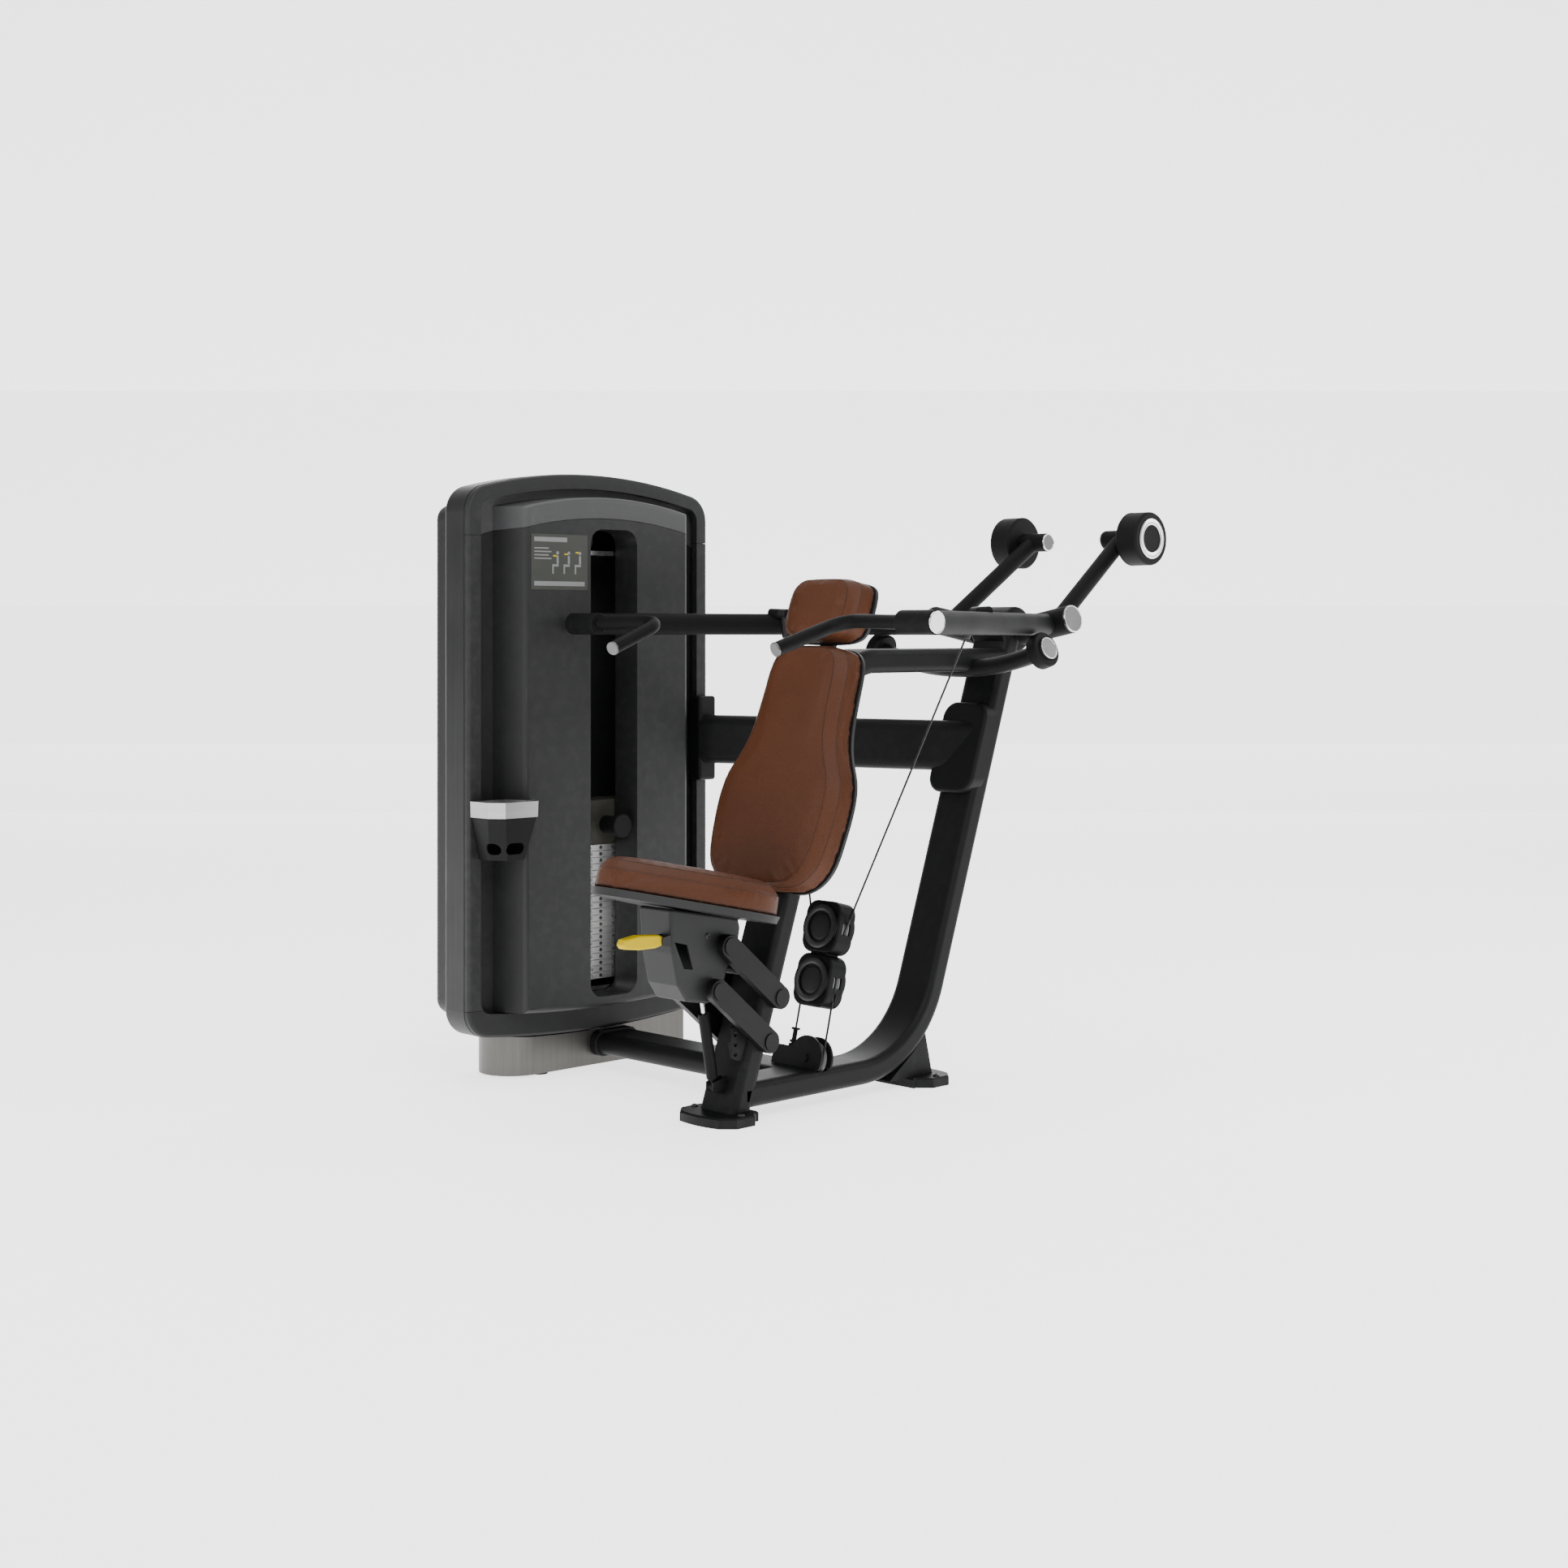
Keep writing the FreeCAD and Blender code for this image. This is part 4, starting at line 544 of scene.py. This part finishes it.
def seam_on(pad, name, side, place_at, out, grow, ends, radius=0.9, lift=0.1):
    """Sewn line that follows the pad's real surface near one ring of its outline."""
    tree = BVHTree.FromObject(pad, bpy.context.evaluated_depsgraph_get())
    points = []
    for p in ring_points(side, grow, 6, ends):
        spot, normal, _, _ = tree.find_nearest(place_at(p.x, p.y, out))
        points.append(spot + normal * lift / 1000)
    return tube(name, points, radius, "seam", segments=8, closed=True)


def upholster(node, body, side, place_at, levels, crown, cap, ends):
    """One stuffed pad and its sewn lines, in place of the CAD node.

    The cover starts a little inside the levels, so that the stuffing fills it out to them.
    """
    shape = [(out - 1.5 if i == len(levels) - 1 else out, grow - 2.5 * (i > 0))
             for i, (out, grow) in enumerate(levels)]
    pad = pad_mesh(node + "_cover", side, place_at, shape, crown, ends)
    remesh(pad, VOXEL)
    origin = place_at(0, side[0][0], levels[0][0])
    outward = (place_at(0, side[0][0], levels[0][0] + 1) - origin).normalized()
    inflate(pad, origin, outward, cap / 1000)
    finish_pad(pad)
    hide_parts(node)
    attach(pad, body)
    for number, (out, grow) in enumerate(levels[1:], 1):
        seam = seam_on(pad, f"{node}_seam_{number}", side, place_at, out, grow, ends)
        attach(seam, body)
    return pad


# (height above the board's plane, growth of the outline) from the board to the face
BACK_LEVELS = [(40.5, 41), (44, 44), (76, 30), (101, 0)]
SEAT_LEVELS = [(18.4, -3), (22, 0), (66, 0), (92, -18)]
END_SHARE = 0.16                      # the back pads grow less at their two ends


def build_upholstery():
    for node, side in (("backrest_pad", BACK_SIDE), ("headrest_pad", HEAD_SIDE)):
        upholster(node, "frame", side, lean_point, BACK_LEVELS, 3.0, 2.5, END_SHARE)
    upholster("seat_pad", "seat", SEAT_SIDE, seat_point, SEAT_LEVELS, 8.0, 4.0, 1.0)


build_upholstery()


# ---------------------------------------------------------------- cables
DRAW = math.radians(14.0)
DRAW_UP = Vector((0, math.sin(DRAW), math.cos(DRAW)))
DRAW_AXIS = Vector((0, math.cos(DRAW), -math.sin(DRAW)))
GROOVE_R, CABLE_R, FLOAT_GAP = 55.0, 2.6, 135
FLOAT_TOP = Vector((0, 375.4, 432))
FLOAT_LOW = FLOAT_TOP - DRAW_UP * FLOAT_GAP
FLOOR_WHEEL = Vector((14, 295.6, 112))
STACK = Vector((-812, 261, 0))        # middle of the plates
HEAD_TOP_Z, WHEEL_Z = 724, 1440       # ends of the lifting cable
BOLT_RISE = 68.0                      # anchor bolt's top above the floor wheel
WRAP_RISE = 54                        # how far the wrap follows the arm's cable off its wheel
DRAW_STEPS, STACK_STEPS = 30, 60
LUG = Vector((340, 551, 1232))
X_AXIS = Vector((1, 0, 0))


def point(vector):
    return at(*vector)


def arc(centre, first, second, radius, start, end, steps=24):
    """Points on a circle: centre + radius (cos a first + sin a second)."""
    return [centre + (first * math.cos(a) + second * math.sin(a)) * radius
            for a in (start + (end - start) * i / steps for i in range(steps + 1))]


def leg_line():
    """Lean of the arm's cable, where it meets the upper wheel, and its direction."""
    reach = LUG - FLOAT_TOP
    rise = Vector((0, reach.y, reach.z))
    lean = math.atan2(reach.x, rise.length) - math.asin(GROOVE_R / reach.length)
    up = rise.normalized()
    tangent = FLOAT_TOP + X_AXIS * GROOVE_R * math.cos(lean) - up * GROOVE_R * math.sin(lean)
    return lean, tangent, (LUG - tangent).normalized()


def build_float_cables():
    """Cable round the upper floating wheel, and the draw cable's bend round the lower one."""
    lean, _, _ = leg_line()
    wrap = arc(FLOAT_TOP, X_AXIS, -DRAW_UP, GROOVE_R, lean, math.pi - lean)
    away = X_AXIS * math.sin(lean) + DRAW_UP * math.cos(lean)
    mirrored = Vector((-away.x, away.y, away.z))
    wrap = [wrap[0] + away * WRAP_RISE] + wrap + [wrap[-1] + mirrored * WRAP_RISE]
    hoop = arc(FLOAT_LOW, X_AXIS, DRAW_UP, GROOVE_R, 0, math.pi)
    pieces = [tube("arm_cable_wrap", [point(p) for p in wrap], CABLE_R, "cable"),
              tube("draw_cable_hoop", [point(p) for p in hoop], CABLE_R, "cable")]
    for piece in pieces:
        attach(piece, "float")
    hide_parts("float_cables")


def build_draw_cables():
    """Straight falls to the floor wheel and to the anchor bolt, which lengthen with the press."""
    drop = (FLOAT_LOW.z - FLOOR_WHEEL.z) / DRAW_UP.z
    for name, side, low in (("draw_cable_right", 1, 0.0), ("draw_cable_left", -1, BOLT_RISE)):
        top = FLOAT_LOW + X_AXIS * side * GROOVE_R
        foot = top - DRAW_UP * (drop - low)
        line = [point(foot + (top - foot) * i / DRAW_STEPS) for i in range(DRAW_STEPS + 1)]
        fall = tube(name, line, CABLE_R, "cable")
        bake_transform(fall)


def build_stack_cable():
    """Lifting cable between the head block and the tower's top wheel."""
    line = [at(STACK.x, STACK.y, HEAD_TOP_Z + (WHEEL_Z - HEAD_TOP_Z) * i / STACK_STEPS)
            for i in range(STACK_STEPS + 1)]
    stack = tube("stack_cable_line", line, CABLE_R, "cable")
    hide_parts("stack_cable")
    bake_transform(stack)


def build_leg_sleeves():
    """Rubber sleeve where each arm's cable enters the housing."""
    _, tangent, toward = leg_line()
    for body, flip in (("right_cable_leg", 1), ("left_cable_leg", -1)):
        ends = [tangent + toward * d for d in (48, 52, 70, 74)]
        ends = [at(p.x * flip, p.y, p.z) for p in ends]
        sleeve = tube(body + "_sleeve", ends, CABLE_R + 1.2, "rubber", steps=4)
        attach(sleeve, body)


def build_cables():
    build_float_cables()
    build_draw_cables()
    build_stack_cable()
    build_leg_sleeves()


# ---------------------------------------------------------------- fittings
def screw_head(name, centre, axis, radius, look, body, height=5.0):
    """Dished button head with a hex socket."""
    profile = [(0, height * 0.35), (radius * 0.36, height * 0.35), (radius * 0.42, height * 0.9),
               (radius * 0.62, height), (radius * 0.86, height * 0.8), (radius, height * 0.35),
               (radius, -0.5)]
    head = lathe(name, centre, axis, profile, look, 24)
    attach(head, body)
    return head


def build_float_trim():
    """Turned face rings and hub discs on both sides of the floating pulley housing."""
    for number, centre in enumerate((FLOAT_TOP, FLOAT_LOW), 1):
        for tag, side in (("front", -1), ("back", 1)):
            axis = DRAW_AXIS * side
            face = point(centre + axis * 34.6)
            ring = [(40, -3), (40, 0.4), (42, 1.6), (48, 2.0), (54, 1.2), (56.6, -0.6), (56.8, -3)]
            disc = [(0, -1.4), (30, -1.4), (33.5, -2.2), (35, -3.4), (38.6, -3.4), (38.9, -0.5),
                    (39.6, -0.5), (39.8, -4)]
            for name, profile, look in (("ring", ring, "trim"), ("disc", disc, "hub")):
                piece = lathe(f"float_{name}_{number}_{tag}", face, axis, profile, look)
                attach(piece, "float")


def build_counterweight_trim():
    """Dark disc, bright ring and rubber lip of each counterweight."""
    for side, flip in (("right", 1), ("left", -1)):
        centre = at(261 * flip, 1387, 1441)
        axis = X_AXIS * flip
        body = side + "_arm"
        disc = [(0, -1.5), (30, -1.5), (35.5, -0.8), (37.2, -2.5), (37.4, -4.5)]
        rim = [(37.8, -3), (38.2, 1.2), (39.4, 2.0), (54.6, 2.0), (55.8, 1.2), (56.2, -3)]
        for name, profile, look in (("disc", disc, "hub"), ("face", rim, "bright")):
            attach(lathe(f"counterweight_{name}_{side}", centre, axis, profile, look), body)
        groove = [(74.2, -66), (74.6, -65.4), (74.6, -62.6), (74.2, -62)]
        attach(lathe(f"counterweight_lip_{side}", centre, axis, groove, "rubber"), body)


def cap_rim(name, centre, axis, radius, body):
    """Bright bead round an end cap."""
    profile = [(radius - 3.2, 0.2), (radius - 2.4, 1.3), (radius - 1.2, 1.7), (radius, 1.1),
               (radius + 0.3, -0.8)]
    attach(lathe(name, centre, axis, profile, "bright"), body)


def build_cap_rims():
    """Rims of the caps on pivots, axles, sockets and stops, and the sockets' pale faces."""
    tilt = math.radians(11.0)
    for side, flip in (("right", 1), ("left", -1)):
        body = side + "_arm"
        axis = Vector((math.cos(tilt) * flip, 0, math.sin(tilt)))
        cap_rim("pivot_rim_" + side, at(243 * flip, 1053, 1217) + axis * 0.0062, axis, 36.6, body)
        inward = Vector((-flip, 0, 0))
        cap_rim("axle_rim_" + side, at(101.8 * flip, 1387, 1441), inward, 25.0, body)
        outward = Vector((flip, 0, 0))
        socket = at(641.0 * flip, 64, 1204)
        cap_rim("socket_rim_" + side, socket, outward, 25.6, body)
        face = [(0, 1.6), (20.5, 1.6), (22.4, 1.2), (22.6, -1.5)]
        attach(lathe("socket_face_" + side, socket, outward, face, "bright_cap"), body)
        rise = math.radians(19.5)
        out = Vector((math.cos(rise) * flip, 0, math.sin(rise)))
        stop = Vector((285 * flip, 877, 1084 + 285 / math.sin(rise) * (1 - math.cos(rise))))
        cap_rim("stop_rim_" + side, point(stop) + out * 0.0253, out, 29.4, "frame")


def build_arm_details():
    """Rubber collar where each grip leaves its socket."""
    for side, flip in (("right", 1), ("left", -1)):
        collar = [(17.6, -9), (19.8, -8), (20.2, -2), (19.4, 0.6), (17.4, 1.2)]
        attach(lathe("grip_collar_" + side, at(532 * flip, 64, 1204), Vector((-flip, 0, 0)),
                      collar, "rubber"), side + "_arm")


def build_screws():
    screw_head("casing_screw", at(56.0, -96, 462), X_AXIS, 6.5, "trim", "seat", 3.5)
    for number, (y, x) in enumerate(((-10, 82), (-10, -82), (692, 82), (692, -82))):
        screw_head(f"foot_bolt_{number}", at(x, y, 25), Vector((0, 0, 1)), 9.0, "trim", "frame")


def build_plate_numbers():
    """The load down to each plate, in dark figures on its front edge."""
    plates, lowest, pitch, middle = 21, 234.5, 17.5, 8.55
    across, up, out = Vector((0, 1, 0)), Vector((0, 0, 1)), Vector((1, 0, 0))
    for i in range(plates):
        words = bpy.data.curves.new(f"plate_number_{i + 1}", "FONT")
        words.body = str(5 * (plates - i))
        words.size, words.extrude = 0.0125, 0.0001
        words.align_x, words.align_y = "CENTER", "CENTER"
        carrier = bpy.data.objects.new(words.name + "_words", words)
        flat = bpy.data.meshes.new_from_object(carrier)
        bpy.data.objects.remove(carrier)
        corner = at(STACK.x + 52.2, STACK.y - 36, lowest + i * pitch + middle)
        for v in flat.vertices:
            v.co = corner + across * v.co.x + up * v.co.y + out * v.co.z
        number = bpy.data.objects.new(words.name, flat)
        bpy.context.collection.objects.link(number)
        dress(number, "hub")
        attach(number, "frame")


def card_block(name, y0, y1, z0, z1, look="print"):
    """Printed patch on the information card."""
    x = -658.9
    corners = [at(x, y0, z0), at(x, y1, z0), at(x, y1, z1), at(x, y0, z1)]
    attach(slab(name, corners, Vector((0.0002, 0, 0)), look), "frame")


def build_card():
    """Plain title bar, short rows, three simple seated figures and a foot bar."""
    card_block("card_title", -50, 60, 1420, 1432)
    for row in range(4):
        card_block(f"card_row_{row + 1}", -50, -2 + 9 * (row % 2), 1401 - 9 * row, 1404.5 - 9 * row)
    for number, y in enumerate((28, 66, 104), 1):
        head = [(0, 0.3), (4.6, 0.3), (4.8, 0)]
        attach(lathe(f"card_head_{number}", at(-658.8, y, 1391), X_AXIS, head, "print", 20), "frame")
        card_block(f"card_body_{number}", y - 3.5, y + 3.5, 1362, 1384)
        card_block(f"card_thigh_{number}", y - 18, y + 3, 1355, 1361)
        card_block(f"card_shin_{number}", y - 18, y - 13, 1336, 1355)
        card_block(f"card_arm_{number}", y - 15, y - 3.5, 1376 + 5 * number, 1380 + 5 * number, "figure")
    card_block("card_foot", -50, 120, 1304, 1316)


def build_details():
    build_cables()
    build_plate_numbers()
    build_card()
    build_float_trim()
    build_counterweight_trim()
    build_cap_rims()
    build_arm_details()
    build_screws()


build_details()


# ---------------------------------------------------------------- studio
def build_stage():
    """Pale floor that sweeps up into a backdrop, well behind the machine."""
    mat, shader = material("studio_paper", (0.95, 0.95, 0.95), 0.9, specular=0.1)
    shader.inputs["Emission Color"].default_value = (1, 1, 1, 1)
    shader.inputs["Emission Strength"].default_value = 1.9
    link(mat, ramp(mat, noise_field(mat, place(mat), 2.0, 3.0), 0.3, 0.7, 0.86, 0.92),
         shader.inputs["Roughness"])
    mesh = bmesh.new()
    profile = [(-14.0, 0.0), (9.0, 0.0), (11.0, 0.35), (12.4, 1.4), (13.0, 3.2), (13.0, 12.0)]
    forward, side = Vector((-0.7114, 0.7028, 0)), Vector((0.7028, 0.7114, 0))
    rows = [[mesh.verts.new(side * s + forward * run + Vector((0, 0, high)))
             for run, high in profile] for s in (-16.0, 16.0)]
    for i in range(len(profile) - 1):
        mesh.faces.new((rows[0][i], rows[0][i + 1], rows[1][i + 1], rows[1][i]))
    data = bpy.data.meshes.new("studio_floor")
    mesh.to_mesh(data)
    floor = bpy.data.objects.new("studio_floor", data)
    bpy.context.collection.objects.link(floor)
    floor.data.materials.append(mat)


def area_light(name, place_at, aim, size, power):
    lamp = bpy.data.lights.new(name, "AREA")
    lamp.shape = "RECTANGLE"
    lamp.size, lamp.size_y = size
    lamp.energy = power
    obj = bpy.data.objects.new(name, lamp)
    obj.location = place_at
    obj.rotation_mode = "QUATERNION"
    obj.rotation_quaternion = (Vector(aim) - Vector(place_at)).to_track_quat("-Z", "Y")
    bpy.context.collection.objects.link(obj)


def build_lights():
    centre = (0, 0, 0.9)
    area_light("key_light", (4.2, -3.0, 4.6), centre, (3.0, 3.0), 210)
    area_light("fill_light", (-1.5, -5.5, 3.0), centre, (4.0, 3.0), 110)
    area_light("top_light", (0, 0, 5.6), centre, (5.0, 5.0), 190)
    area_light("rim_light", (3.0, 4.8, 3.2), centre, (2.5, 3.5), 120)
    world = bpy.data.worlds.new("studio_world")
    bpy.context.scene.world = world
    world.use_nodes = True
    world.node_tree.nodes["Background"].inputs["Color"].default_value = (1, 1, 1, 1)
    world.node_tree.nodes["Background"].inputs["Strength"].default_value = 0.4


def build_camera():
    data = bpy.data.cameras.new("camera")
    data.sensor_width = 36
    data.lens = 52.17
    data.shift_y = -0.0963
    camera = bpy.data.objects.new("camera", data)
    camera.location = at(4019, -3755, 1180)
    camera.rotation_mode = "QUATERNION"
    camera.rotation_quaternion = Vector((-0.7114, 0.7028, 0)).to_track_quat("-Z", "Y")
    bpy.context.collection.objects.link(camera)
    bpy.context.scene.camera = camera


build_stage()
build_lights()
build_camera()
